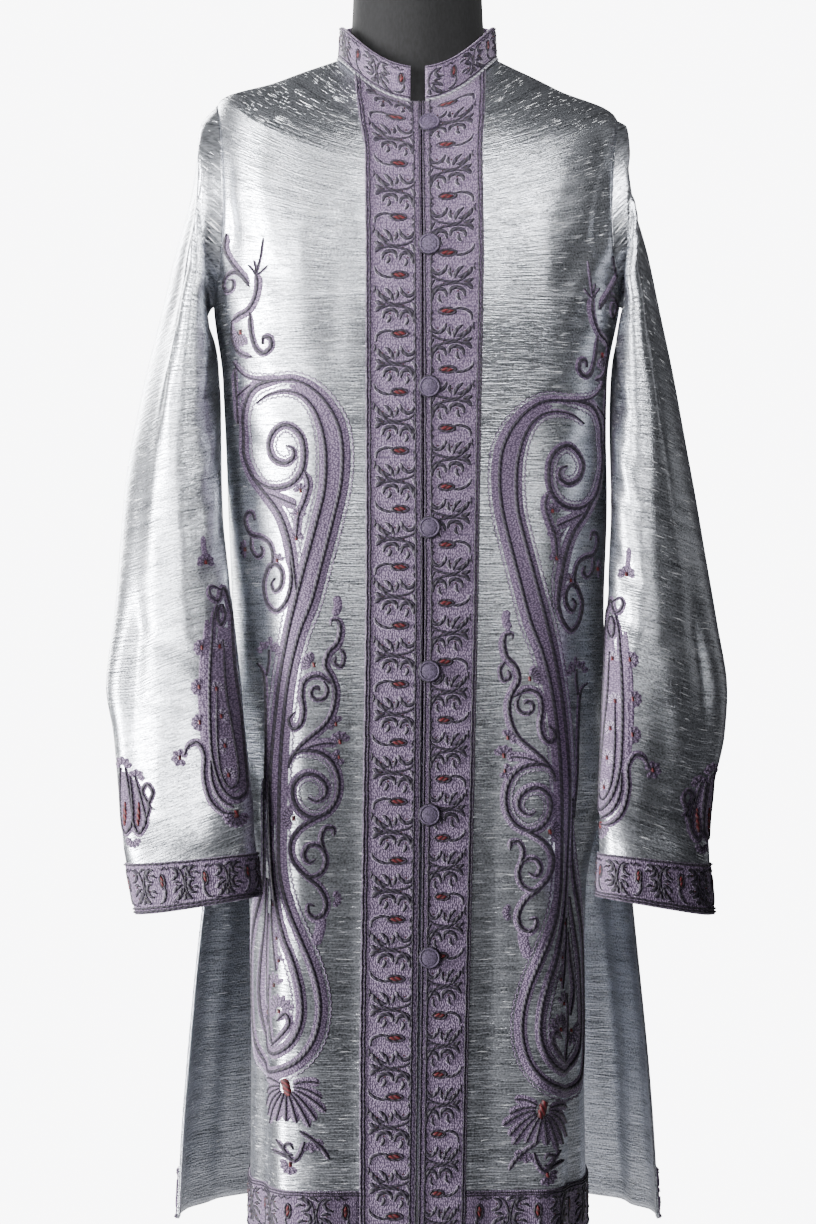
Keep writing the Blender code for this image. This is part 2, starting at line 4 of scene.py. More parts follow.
import bpy
import numpy as np
from mathutils import Matrix, Vector


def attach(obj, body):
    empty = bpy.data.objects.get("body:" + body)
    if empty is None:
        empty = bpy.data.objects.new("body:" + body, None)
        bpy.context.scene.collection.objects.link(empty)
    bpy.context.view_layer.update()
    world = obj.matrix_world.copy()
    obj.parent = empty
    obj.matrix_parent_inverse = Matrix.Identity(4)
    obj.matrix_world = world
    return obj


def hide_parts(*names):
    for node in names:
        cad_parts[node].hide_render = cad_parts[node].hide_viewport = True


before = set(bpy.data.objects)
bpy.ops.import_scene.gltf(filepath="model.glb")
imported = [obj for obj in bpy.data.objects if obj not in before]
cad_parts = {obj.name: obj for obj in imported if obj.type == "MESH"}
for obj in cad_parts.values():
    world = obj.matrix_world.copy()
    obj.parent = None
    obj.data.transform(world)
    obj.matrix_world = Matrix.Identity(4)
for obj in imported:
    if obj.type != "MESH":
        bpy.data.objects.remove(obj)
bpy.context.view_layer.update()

# Real sizes, in metres
WALL = 0.0012
BAND_WALL = 0.0010
COLLAR_WALL = 0.0020
GAP = 0.0003
HEM_BAND = 0.044
CUFF_BAND = 0.043
COLLAR_FRONT, COLLAR_SIDE, COLLAR_BACK = 0.032, 0.030, 0.035
COLLAR_LEAN, COLLAR_PARTING, COLLAR_INSET = 0.0015, 0.0068, 0.0009
BUTTON_RADIUS, BUTTON_THICK = 0.0087, 0.0040
REPEAT = 0.0505  # one repeat of the band's pattern
CUFF_REPEAT = 0.0375  # the same pattern, drawn closer together

# The coat's levels, front lines and sleeve rings are the named values of the solids.
Level = namedtuple(
    "Level",
    "z_front z_side z_back half_front half_back y_front side_front side_back y_back"
    " square_front square_back curl",
)
LEVELS = (
    Level(0.392, 0.392, 0.392, 0.149, 0.215, -0.152, -0.014, -0.030, 0.150, 3.0, 2.3, 7),
    Level(0.529, 0.529, 0.529, 0.147, 0.206, -0.147, -0.013, -0.026, 0.143, 3.0, 2.3, 7),
    Level(0.679, 0.679, 0.679, 0.149, 0.191, -0.140, -0.009, -0.014, 0.134, 2.9, 2.3, 5),
    Level(0.755, 0.755, 0.755, 0.165, 0.184, -0.135, -0.005, -0.002, 0.129, 2.7, 2.3, 0),
    Level(0.800, 0.800, 0.800, 0.177, 0.177, -0.132, 0.000, 0.000, 0.126, 2.6, 2.3, 0),
    Level(0.898, 0.898, 0.898, 0.168, 0.168, -0.126, 0.000, 0.000, 0.119, 2.6, 2.3, 0),
    Level(1.053, 1.053, 1.053, 0.161, 0.161, -0.114, 0.000, 0.000, 0.101, 2.6, 2.3, 0),
    Level(1.135, 1.135, 1.135, 0.167, 0.167, -0.119, 0.000, 0.000, 0.108, 2.6, 2.3, 0),
    Level(1.205, 1.205, 1.205, 0.181, 0.181, -0.126, 0.000, 0.000, 0.118, 2.6, 2.4, 0),
    Level(1.258, 1.292, 1.278, 0.187, 0.187, -0.123, 0.002, 0.002, 0.117, 2.6, 2.5, 0),
    Level(1.318, 1.378, 1.356, 0.179, 0.179, -0.108, 0.004, 0.004, 0.101, 2.6, 2.6, 0),
    Level(1.352, 1.402, 1.408, 0.125, 0.125, -0.091, 0.004, 0.004, 0.083, 2.4, 2.4, 0),
    Level(1.378, 1.425, 1.442, 0.0715, 0.0715, -0.070, 0.000, 0.000, 0.062, 2.1, 2.1, 0),
)
HEM, SLIT, ARMPIT, SHOULDER, NECK = 0, 4, 8, 10, 12
SHOULDER_TILT = 0.007  # the left shoulder's height over the middle, and the right one's under it
ARMHOLE_DIP = 0.31  # how far the armhole cuts into a quarter, as a share of its turn
# Height, then how far right the opening lies, and how far out the left and right band's edge
FRONTS = (
    (0.392, -0.001, 0.050, 0.040),
    (0.560, 0.001, 0.050, 0.043),
    (0.940, 0.005, 0.045, 0.052),
    (1.240, 0.004, 0.045, 0.057),
    (1.330, 0.003, 0.046, 0.056),
    (1.378, 0.003, 0.056, 0.060),
)
OPENING_HALF_GAP = 0.0007
# A sleeve's rings: height of its outer and inner edge, how far out these two lie on the left and
# on the right side, then y and half the depth
RINGS = (
    (1.366, 1.2030, 0.1945, 0.1850, 0.1870, 0.1845, 0.002, 0.067),
    (1.340, 1.1980, 0.1980, 0.1875, 0.1890, 0.1855, 0.002, 0.070),
    (1.300, 1.1890, 0.2055, 0.1890, 0.1950, 0.1855, 0.001, 0.073),
    (1.250, 1.1750, 0.2205, 0.1895, 0.2095, 0.1840, 0.000, 0.075),
    (1.190, 1.1500, 0.2335, 0.1895, 0.2215, 0.1815, -0.004, 0.075),
    (1.130, 1.1080, 0.2480, 0.1850, 0.2335, 0.1780, -0.012, 0.072),
    (1.060, 1.0500, 0.2605, 0.1775, 0.2450, 0.1745, -0.026, 0.066),
    (0.985, 0.9800, 0.2660, 0.1690, 0.2560, 0.1700, -0.046, 0.058),
    (0.925, 0.9200, 0.2690, 0.1615, 0.2648, 0.1655, -0.067, 0.051),
    (0.868, 0.8660, 0.2735, 0.1535, 0.2722, 0.1620, -0.090, 0.044),
    (0.825, 0.8220, 0.2665, 0.1490, 0.2680, 0.1600, -0.105, 0.039),
    (0.778, 0.7750, 0.2610, 0.1440, 0.2570, 0.1575, -0.117, 0.035),
    (0.728, 0.7350, 0.2540, 0.1400, 0.2515, 0.1560, -0.128, 0.032),
    (0.672, 0.6880, 0.2420, 0.1350, 0.2540, 0.1530, -0.139, 0.030),
)
RING_SQUARE = 2.3
SIDES = {"left": -1, "right": 1}  # as seen from the front, and the sign of x there
WEARER = {"left": "right", "right": "left"}

# Large folds, as on the solids: face, side, centre and half width as shares of the quarter
# turn, depth (a crest is negative), and the levels where the fold starts and is fullest.
FOLDS = (
    ("front", "left", 0.60, 0.14, 0.007, 6.0, 1.0),
    ("front", "right", 0.57, 0.14, 0.008, 6.5, 1.0),
    ("front", "left", 0.40, 0.10, -0.003, 5.5, 1.0),
    ("front", "right", 0.38, 0.10, -0.003, 5.5, 1.0),
    ("back", "left", 0.30, 0.13, 0.009, 6.2, 0.8),
    ("back", "right", 0.36, 0.13, 0.008, 6.0, 0.8),
    ("back", "left", 0.72, 0.12, 0.006, 5.5, 0.8),
    ("back", "right", 0.75, 0.12, 0.007, 5.5, 0.8),
)
# Where a sleeve falls in: angle, half width, depth, and the rings where it starts, is deepest
# and ends
TUCKS = (
    (78, 34, 0.011, 0.4, 2.6, 6.0),
    (-75, 34, 0.009, 0.4, 2.8, 6.0),
    (55, 30, 0.004, 8.2, 9.6, 11.2),
    (128, 26, 0.004, 6.5, 8.6, 10.4),
)

# Soft creases: two ends as seen from that side in mm (across from the centre line,
# height), then the half width and the depth in mm (a ridge is negative).
CREASES = {
    ("front", "left"): (
        (-172, 1290, -120, 1215, 16, 2.6),
        (-176, 1255, -128, 1180, 12, 2.0),
        (-140, 1330, -95, 1225, 18, -2.0),
        (-60, 1300, -72, 1120, 14, 1.4),
        (-95, 1290, -100, 1130, 13, -1.5),
        (-150, 1150, -95, 1105, 10, 1.4),
        (-160, 1105, -110, 1060, 9, 1.6),
        (-158, 1040, -105, 1030, 8, 1.3),
        (-160, 985, -110, 960, 9, 1.4),
        (-150, 900, -80, 905, 11, 0.9),
        (-94, 1150, -95, 150, 38, -17.0),
        (-116, 780, -126, 380, 13, 2.6),
        (-165, 1330, -158, 1240, 7, 2.2),
    ),
    ("front", "right"): (
        (178, 1285, 118, 1190, 16, 3.0),
        (176, 1240, 136, 1165, 12, 2.2),
        (135, 1335, 92, 1210, 18, -2.2),
        (96, 1290, 110, 1130, 13, 2.0),
        (150, 1140, 100, 1095, 10, 1.5),
        (160, 1085, 112, 1050, 9, 1.7),
        (158, 1030, 108, 1010, 8, 1.3),
        (162, 960, 112, 930, 9, 1.5),
        (114, 1090, 116, 220, 34, -11.0),
        (58, 1060, 58, 250, 20, 3.5),
        (150, 1040, 140, 380, 14, 2.5),
        (166, 1325, 160, 1235, 7, 2.0),
    ),
    ("back", "both"): (
        (-60, 1390, -20, 1300, 22, 1.6),
        (64, 1392, 26, 1298, 22, 1.7),
        (-150, 1300, -110, 1190, 14, 2.4),
        (152, 1296, 104, 1196, 14, 2.6),
        (-30, 1130, 44, 1112, 11, 1.8),
        (-70, 1090, 20, 1078, 10, 1.7),
        (-20, 1050, 80, 1062, 10, 1.9),
        (-96, 1034, -24, 1022, 9, 1.4),
        (24, 1008, 104, 1016, 9, 1.5),
        (-150, 1060, -110, 1030, 9, 1.5),
        (150, 1070, 112, 1036, 9, 1.6),
        (0, 960, -8, 420, 16, 2.4),
        (-84, 900, -96, 410, 13, -2.4),
        (92, 880, 104, 410, 13, -2.4),
        (-150, 800, -172, 420, 12, 1.8),
        (148, 800, 176, 420, 12, 1.8),
        (-178, 730, -190, 340, 13, -4.0),
        (178, 730, 190, 340, 13, -4.0),
    ),
}
# Sleeve creases: ring and angle of both ends, then the half width in degrees and the depth in
# mm. The angle is measured from the outer edge, positive to the front.
SLEEVE_CREASES = (
    (0.6, 60, 4.5, 50, 12, 3.5),
    (0.6, 100, 4.0, 96, 10, -3.0),
    (0.8, 128, 3.6, 134, 11, 3.2),
    (1.6, 26, 5.5, 22, 12, 2.2),
    (3.4, 84, 6.6, 66, 10, 2.4),
    (4.6, 150, 6.8, 100, 9, 2.6),
    (5.6, 150, 7.4, 84, 8, 2.2),
    (6.6, 152, 8.0, 78, 8, 2.0),
    (7.4, 158, 8.7, 96, 8, 2.4),
    (8.4, 164, 9.3, 84, 7, 2.0),
    (9.0, 40, 9.8, 120, 8, 1.6),
    (10.2, 30, 10.6, 118, 7, 1.0),
    (4.0, 66, 12.6, 62, 9, -1.6),
    (7.0, 108, 12.8, 112, 9, 1.2),
    (0.7, -60, 4.4, -52, 12, 3.0),
    (0.8, -118, 3.8, -126, 12, 3.2),
    (4.4, -150, 6.8, -96, 9, 2.4),
    (6.0, -150, 7.8, -84, 9, 2.4),
    (7.6, -156, 9.0, -90, 8, 2.2),
    (9.0, -150, 9.9, -100, 7, 1.6),
    (4.0, -70, 12.4, -74, 10, -1.8),
    (8.4, -30, 12.6, -36, 9, 1.3),
)


# Materials
def linear(code):
    """An sRGB hex colour as linear RGBA."""
    parts = [int(code[i : i + 2], 16) / 255 for i in (0, 2, 4)]
    return (*(p / 12.92 if p <= 0.04045 else ((p + 0.055) / 1.055) ** 2.4 for p in parts), 1.0)


def add(tree, kind, inputs=(), output=0, stops=(), **settings):
    """Adds a node with its settings and links, and gives one of its outputs. inputs maps its
    sockets to plain values or to the outputs that feed them, stops are a ramp's places and
    hex colours."""
    made = tree.nodes.new(kind)
    for name, value in settings.items():
        setattr(made, name, value)
    for name, value in dict(inputs).items():
        if isinstance(value, bpy.types.NodeSocket):
            tree.links.new(value, made.inputs[name])
        else:
            made.inputs[name].default_value = value
    for number, (place, code) in enumerate(stops):
        elements = made.color_ramp.elements
        element = elements[number] if number < 2 else elements.new(place)
        element.position, element.color = place, linear(code)
    return made.outputs[output] if made.outputs else None


def start(name, **sockets):
    """A new material with its shader. Plain values are set on the shader's own sockets."""
    made = bpy.data.materials.new(name)
    made.use_nodes = True
    shader = made.node_tree.nodes["Principled BSDF"]
    for socket, value in sockets.items():
        shader.inputs[socket.replace("_", " ")].default_value = value
    return made, made.node_tree, shader


def raw_silk(name, dark, light, slub_and_glint_colour):
    """Dupion: a smooth fine warp with a thick uneven weft, so the cloth has a broad metal-like
    glint and grey depths. Slubs 5 to 25 mm long and about 1 mm thick lie across it, and darker bars
    of weft lie between them. The slubs are near white and not metal-like, partly their own colour
    and partly a painted glint, so they stay bright where the cloth is in the shade."""
    made, tree, shader = start(name, Roughness=0.3, Specular_IOR_Level=0.5)
    uv = add(tree, "ShaderNodeUVMap", uv_map="cloth")
    noises = []
    for scale, detail in (
        ((42, 640, 1), 3.0), ((520, 640, 1), 2.0), ((6, 110, 1), 3.0), ((60, 980, 1), 1.5),
        ((13, 60, 1), 2.0),
    ):
        stretched = add(tree, "ShaderNodeMapping", {"Vector": uv, "Scale": scale})
        sockets = {"Vector": stretched, "Scale": 1.0, "Detail": detail}
        noises.append(add(tree, "ShaderNodeTexNoise", sockets))
    bars, grain, bands, slubs, patches = noises
    slubs = add(tree, "ShaderNodeMapRange", {"Value": slubs, "From Min": 0.635, "From Max": 0.675})
    patches = add(tree, "ShaderNodeMapRange", {"Value": patches, "From Min": 0.36, "From Max": 0.5})
    slubs = add(tree, "ShaderNodeMath", {0: slubs, 1: patches}, operation="MULTIPLY")
    yarn = add(tree, "ShaderNodeMath", {0: grain, 1: 1.1, 2: -0.3}, operation="MULTIPLY_ADD")
    yarn = add(tree, "ShaderNodeMath", {0: bars, 1: 0.7, 2: yarn}, operation="MULTIPLY_ADD")
    yarn = add(tree, "ShaderNodeMath", {0: bands, 1: 0.5, 2: yarn}, operation="MULTIPLY_ADD")
    ground = add(tree, "ShaderNodeValToRGB", {"Fac": yarn}, stops=((0.5, dark), (1.0, light)))
    # The slubs' near-white colour is partly their own and partly a painted glint, which keeps them
    # bright where the cloth is in shade.
    colour = {0: slubs, 6: ground, 7: linear(slub_and_glint_colour)}
    colour = add(tree, "ShaderNodeMix", colour, output=2, data_type="RGBA")
    tree.links.new(colour, shader.inputs["Base Color"])
    metal = add(tree, "ShaderNodeMapRange", {"Value": slubs, "To Min": 0.93, "To Max": 0.0})
    tree.links.new(metal, shader.inputs["Metallic"])
    height = add(tree, "ShaderNodeMath", {0: grain, 1: 0.25, 2: bars}, operation="MULTIPLY_ADD")
    height = add(tree, "ShaderNodeMath", {0: slubs, 1: 0.7, 2: height}, operation="MULTIPLY_ADD")
    bump = add(tree, "ShaderNodeBump", {"Height": height, "Distance": 0.0010, "Strength": 0.7})
    tree.links.new(bump, shader.inputs["Normal"])
    return made


def chain_stitch(name, dark, mid, light):
    """Rows of silk chain stitch, about 1.4 mm apart, packed until the ground is covered. They are
    drawn as loops of 2 mm, which still show at this distance. Each loop is painted lighter where it
    stands up and darker towards its edge: painted shade in the gaps between loops, following the
    bump."""
    made, tree, shader = start(name, Roughness=0.72, Sheen_Weight=0.2, Sheen_Roughness=0.4)
    uv = add(tree, "ShaderNodeUVMap", uv_map="cloth")
    cells = add(tree, "ShaderNodeMapping", {"Vector": uv, "Scale": (620, 420, 1)})
    cells = {"Vector": cells, "Scale": 1.0, "Randomness": 0.75}
    cells = add(tree, "ShaderNodeTexVoronoi", cells, voronoi_dimensions="2D")
    loops = add(tree, "ShaderNodeMapRange", {"Value": cells, "From Min": 0.05, "From Max": 0.62})
    # Painted shade: the ramp runs from light at a loop's raised middle to dark in the gaps between
    # loops.
    stops = ((0.0, light), (0.45, mid), (1.0, dark))
    colour = add(tree, "ShaderNodeValToRGB", {"Fac": loops}, stops=stops)
    wander = add(tree, "ShaderNodeMapping", {"Vector": uv, "Scale": (90, 90, 1)})
    wander = add(tree, "ShaderNodeTexNoise", {"Vector": wander, "Scale": 1.0, "Detail": 2.0})
    wander = add(tree, "ShaderNodeMath", {0: wander, 1: 0.45}, operation="MULTIPLY")
    colour = {0: wander, 6: colour, 7: linear(mid)}
    colour = add(tree, "ShaderNodeMix", colour, output=2, data_type="RGBA")
    tree.links.new(colour, shader.inputs["Base Color"])
    height = add(tree, "ShaderNodeMath", {0: 1.0, 1: loops}, operation="SUBTRACT")
    bump = add(tree, "ShaderNodeBump", {"Height": height, "Distance": 0.0008, "Strength": 0.8})
    tree.links.new(bump, shader.inputs["Normal"])
    return made


def twisted_cord(name, dark, light):
    """Couched cord of two plies: slanting turns, 3.3 mm from one to the next, painted lighter on
    their crests and darker in the grooves between them, which is painted shade following the bump.
    """
    made, tree, shader = start(name, Roughness=0.62, Sheen_Weight=0.15, Sheen_Roughness=0.4)
    uv = add(tree, "ShaderNodeUVMap", uv_map="cloth")
    slant = add(tree, "ShaderNodeMapping", {"Vector": uv, "Rotation": (0, 0, 0.9)})
    turns = {"Vector": slant, "Scale": 95.0, "Distortion": 1.5, "Detail": 1.0}
    turns = add(tree, "ShaderNodeTexWave", turns, output=1)
    wear = add(tree, "ShaderNodeMapping", {"Vector": uv, "Scale": (160, 160, 1)})
    wear = add(tree, "ShaderNodeTexNoise", {"Vector": wear, "Scale": 1.0, "Detail": 2.0})
    wear = add(tree, "ShaderNodeMath", {0: wear, 1: 0.4}, operation="MULTIPLY")
    mixed = add(tree, "ShaderNodeMath", {0: turns, 1: 0.6, 2: wear}, operation="MULTIPLY_ADD")
    # Painted shade: the same wave that raises each turn makes its crest light and its groove dark.
    colour = add(tree, "ShaderNodeValToRGB", {"Fac": mixed}, stops=((0.25, dark), (0.8, light)))
    tree.links.new(colour, shader.inputs["Base Color"])
    bump = add(tree, "ShaderNodeBump", {"Height": turns, "Distance": 0.0006, "Strength": 0.6})
    tree.links.new(bump, shader.inputs["Normal"])
    return made


def speckled(name, scale, detail, dark, light, relief=None, **sockets):
    """A plain finish: a noise with this scale shades it between two ramp stops, and another
    one, given by its scale and the bump's distance and strength, makes it uneven."""
    made, tree, shader = start(name, **sockets)
    place = add(tree, "ShaderNodeTexCoord", output=3)
    noise = add(tree, "ShaderNodeMapping", {"Vector": place, "Scale": scale})
    noise = add(tree, "ShaderNodeTexNoise", {"Vector": noise, "Scale": 1.0, "Detail": detail})
    colour = add(tree, "ShaderNodeValToRGB", {"Fac": noise}, stops=(dark, light))
    tree.links.new(colour, shader.inputs["Base Color"])
    if relief:
        scale, distance, strength = relief
        height = add(tree, "ShaderNodeMapping", {"Vector": place, "Scale": scale})
        height = add(tree, "ShaderNodeTexNoise", {"Vector": height, "Scale": 1.0, "Detail": 2.0})
        bump = {"Height": height, "Distance": distance, "Strength": strength}
        tree.links.new(add(tree, "ShaderNodeBump", bump), shader.inputs["Normal"])
    return made


silk = raw_silk("raw silk dupion, silver grey", "5C5F65", "DDE0E8", "F6F7FA")
silk_reverse = raw_silk("raw silk dupion, turned edge", "A9ACB2", "DADDE3", "F4F5F8")
lilac = chain_stitch("silk chain stitch, lilac", "3E314A", "75627F", "A593AE")
# The pale thread is partly real pale lilac and partly painted light: highlights beside the bands'
# raised strokes, and florets made paler against the sleeve's shade.
pale = chain_stitch("silk chain stitch, pale lilac edge and painted light", "6A5A77", "A393AF", "CFC4D6")
violet = twisted_cord("couched silk cord, dark violet", "120C18", "2F2538")
crimson = twisted_cord("satin stitch, dark red", "2E050C", "66101B")
piping = twisted_cord("silk piping, silver grey", "6D6B74", "B9B8C2")
# Thread wound over a button mould: matt, with knots about 1 mm wide.
thread_disc = speckled(
    "wound thread over a button mould", (900, 900, 900), 2.0, (0.35, "2E2636"), (0.65, "625570"),
    ((900, 900, 900), 0.0005, 0.7), Roughness=0.7,
)
# Cotton jersey, knitted: loops under 1 mm, drawn 2 mm wide, so that they still show.
jersey = speckled(
    "cotton jersey, black", (500, 500, 220), 2.0, (0.3, "060607"), (0.7, "131315"),
    ((500, 500, 220), 0.0004, 0.5), Roughness=0.9, Sheen_Weight=0.04,
)
# Satin lacquer on steel: faint wide scuffs, and an orange peel a few mm across.
lacquer = speckled(
    "satin lacquer, black", (14, 14, 14), 4.0, (0.3, "0B0B0D"), (0.75, "18181B"),
    ((260, 260, 260), 0.0002, 0.15), Roughness=0.3, Coat_Weight=0.3, Coat_Roughness=0.15,
)
# Brushed tube: fine turned lines round the pole.
steel = speckled(
    "brushed steel tube", (20, 20, 1600), 2.0, (0.3, "8F9092"), (0.7, "B9BABC"),
    ((20, 20, 1600), 0.0001, 0.2), Metallic=1.0, Roughness=0.32, Anisotropic=0.5,
)
# A seamless paper floor, matt and nearly white.
paper = speckled(
    "seamless paper, white", (60, 60, 60), 3.0, (0.2, "E6E6E9"), (0.8, "EDEDF0"), Roughness=0.9
)


# The coat's surface
def smooth_rows(table, at):
    """The table's columns at row number at, on a curve that never overshoots its rows."""
    values = np.array(table, float)
    step = np.diff(values, axis=0)
    inner = np.where(step[:-1] * step[1:] > 0, 2 * step[:-1] * step[1:], 0.0)
    slope = np.zeros_like(values)
    slope[1:-1] = inner / np.where(inner != 0, step[:-1] + step[1:], 1.0)
    slope[0], slope[-1] = step[0], step[-1]
    row = int(min(max(math.floor(at), 0), len(values) - 2))
    t = at - row
    return (
        (1 + 2 * t) * (1 - t) ** 2 * values[row]
        + t * (1 - t) ** 2 * slope[row]
        + t * t * (3 - 2 * t) * values[row + 1]
        + t * t * (t - 1) * slope[row + 1]
    )


def hump(distance, width):
    """1 at distance 0, falling smoothly to 0 at width."""
    return np.cos(np.minimum(np.abs(distance) / width, 1.0) * np.pi / 2) ** 2


def power(value, exponent):
    """A power that keeps the value's sign."""
    return np.sign(value) * np.abs(value) ** exponent


def curve_of(face, row):
    """The half width, middle y and z, side y, squareness and curl of one face at a level."""
    if face == "front":
        return row.half_front, row.y_front, row.z_front, row.side_front, row.square_front, row.curl
    return row.half_back, row.y_back, row.z_back, row.side_back, row.square_back, 0.0


def coat_row(face, side, level, turns):
    """Points of the coat's outer surface at one level. turns are 0 at the centre, 1 at the side."""
    turns = np.asarray(turns, float)
    row = Level(*smooth_rows(LEVELS, level))
    half, y_middle, z_middle, y_side, square, curl = curve_of(face, row)
    angle = np.radians(turns * (90 + curl))
    across, along = power(np.sin(angle), 2 / square), power(np.cos(angle), 2 / square)
    shoulder = min(max((level - ARMPIT) / (SHOULDER - ARMPIT), 0.0), 1.0)
    shoulder *= min(max((NECK - level) / (NECK - SHOULDER), 0.0), 1.0)
    tilt = -SIDES[side] * SHOULDER_TILT * shoulder
    x = half * across
    y = y_side + (y_middle - y_side) * along
    z = z_middle + (row.z_side + tilt - z_middle) * across * across
    depth = np.zeros_like(turns)
    for fold_face, fold_side, centre, width, deep, first, full in FOLDS:
        if fold_face == face and fold_side == side and level < first:
            share = min((first - level) / (first - full), 1.0)
            depth += deep * share * share * (3 - 2 * share) * hump(turns - centre, width)
    out = np.hypot(across / half, along / abs(y_middle))
    x = x - depth * across / half / out
    y = y - depth * np.sign(y_middle) * np.abs(along) / abs(y_middle) / out
    return np.stack([SIDES[side] * x, y, z], axis=-1)


def turn_of(level, out):
    """The front's turn at which the coat lies this far out from its centre line."""
    half, _, _, _, square, curl = curve_of("front", Level(*smooth_rows(LEVELS, level)))
    share = min(abs(out) / half, 1.0) ** (square / 2)
    return math.copysign(math.degrees(math.asin(share)) / (90 + curl), out)


def front_lines(level):
    """How far right the opening lies, and how far out each band's outer edge."""
    z = smooth_rows(LEVELS, level)[0]
    heights = [row[0] for row in FRONTS]
    return [float(np.interp(z, heights, [row[i] for row in FRONTS])) for i in (1, 2, 3)]


def edge_turn(level):
    """The turn at which a panel ends: the side, or the armhole's edge."""
    share = (level - ARMPIT) / (SHOULDER - ARMPIT)
    if not 0 < share < 1:
        return 1.0
    return 1 - ARMHOLE_DIP * math.sqrt(4 * share * (1 - share))


LOOP = 40  # columns of a sleeve in each half, and rows of the armhole
ROW_STEP = 0.005


def armhole_levels():
    """Levels from the armpit to the shoulder, closer together towards both."""
    shares = [(1 - math.cos(math.pi * k / LOOP)) / 2 for k in range(LOOP + 1)]
    return [ARMPIT + (SHOULDER - ARMPIT) * share for share in shares]


def panel_levels():
    """Levels ROW_STEP apart up to the armpit, then the armhole's own, then the shoulder."""
    fine = np.linspace(HEM, ARMPIT, 1201)
    heights = np.array([smooth_rows(LEVELS, at)[0] for at in fine])
    wanted = np.arange(heights[0], heights[-1] - ROW_STEP / 2, ROW_STEP)
    rows = [np.interp(z, heights, fine) for z in wanted]
    return rows + armhole_levels() + list(np.linspace(SHOULDER, NECK, 19)[1:])


ROWS = panel_levels()
BAND_COLUMNS = 9
PANEL_COLUMNS = 42


def seam_inset(face, side, level):
    """Half a seam's gap, as a share of the quarter turn."""
    near, far = coat_row(face, side, level, [1.0, 0.98])
    return GAP / 2 * 0.02 / float(np.linalg.norm(near - far))


def front_turns(side, level):
    """The turns of a front's columns: across the band first, then on to the side."""
    opening, left_band, right_band = front_lines(level)
    first = SIDES[side] * opening + OPENING_HALF_GAP
    band = left_band if side == "left" else right_band
    turns = [turn_of(level, out) for out in np.linspace(first, band, BAND_COLUMNS + 1)]
    end = edge_turn(level) - seam_inset("front", side, level)
    return turns + list(np.linspace(turns[-1], end, PANEL_COLUMNS + 1)[1:])


def back_turns(side, level):
    """The turns of the columns in one half of the back."""
    end = edge_turn(level) - seam_inset("back", side, level)
    return np.linspace(0.0, end, BAND_COLUMNS + PANEL_COLUMNS + 1)


def outward(grid, closed=False):
    """Unit normals of a grid of points, pointing away from its middle."""
    down = np.gradient(grid, axis=0)
    if closed:
        along = np.roll(grid, -1, axis=1) - np.roll(grid, 1, axis=1)
    else:
        along = np.gradient(grid, axis=1)
    normals = np.cross(down, along)
    normals /= np.maximum(np.linalg.norm(normals, axis=2, keepdims=True), 1e-12)
    if (normals * (grid - grid.reshape(-1, 3).mean(axis=0))).sum() < 0:
        normals = -normals
    return normals


def crease(px, py, dx, dy, width, deep, bend, most=math.inf):
    """The depth of one crease, for places seen from its first end: a trough with faint ridges
    beside it, which bends by a share of its length and fades out towards (0, 0) and (dx, dy)."""
    length = math.hypot(dx, dy)
    bow = np.sin(np.clip((px * dx + py * dy) / length**2, 0, 1) * np.pi)
    off = ((py * dx - px * dy) / length + min(bend * length, most) * bow) / width
    return deep * bow**0.7 * (1 - 0.5 * off**2) * np.exp(-(off**2))


def ripple(grid, normals, size, seed, free):
    """A slow unevenness of the cloth, about size metres deep where the cloth is free."""
    x, y, z = grid[..., 0], grid[..., 1], grid[..., 2]
    wave = (
        np.sin(41 * x + 17 * z + seed) * np.sin(23 * z - 11 * y + 2 * seed)
        + 0.6 * np.sin(67 * x - 31 * z + 3 * seed)
        + 0.5 * np.sin(59 * y + 29 * z - seed)
    )
    return grid + (size * 0.5 * wave * free)[..., None] * normals


def arc(grid, axis):
    """Distance along a grid's rows or columns, in metres."""
    step = np.linalg.norm(np.diff(grid, axis=axis), axis=2)
    return np.insert(np.cumsum(step, axis=axis), 0, 0.0, axis=axis)


# Meshes
def new_piece(name, verts, faces, uvs, material, slot, replaces=()):
    """A mesh of the root body from corners, faces and one UV pair for each face corner."""
    mesh = bpy.data.meshes.new(name)
    mesh.from_pydata(np.asarray(verts).tolist(), [], [list(map(int, face)) for face in faces])
    layer = mesh.uv_layers.new(name="cloth")
    layer.data.foreach_set("uv", np.asarray(uvs, dtype=np.float32).ravel())
    mesh.materials.append(material)
    mesh.shade_smooth()
    mesh.update()
    piece = bpy.data.objects.new(name, mesh)
    bpy.context.scene.collection.objects.link(piece)
    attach(piece, "root")
    if replaces:
        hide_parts(*replaces)
    return piece


def cells(rows, columns, closed=False):
    """The corners of each cell of a grid, whose last column meets the first one if closed."""
    i, j = np.meshgrid(np.arange(rows - 1), np.arange(columns - (not closed)), indexing="ij")
    i, j = i.ravel() * columns, j.ravel()
    k = (j + 1) % columns
    return np.stack([i + j, i + columns + j, i + columns + k, i + k], axis=1)


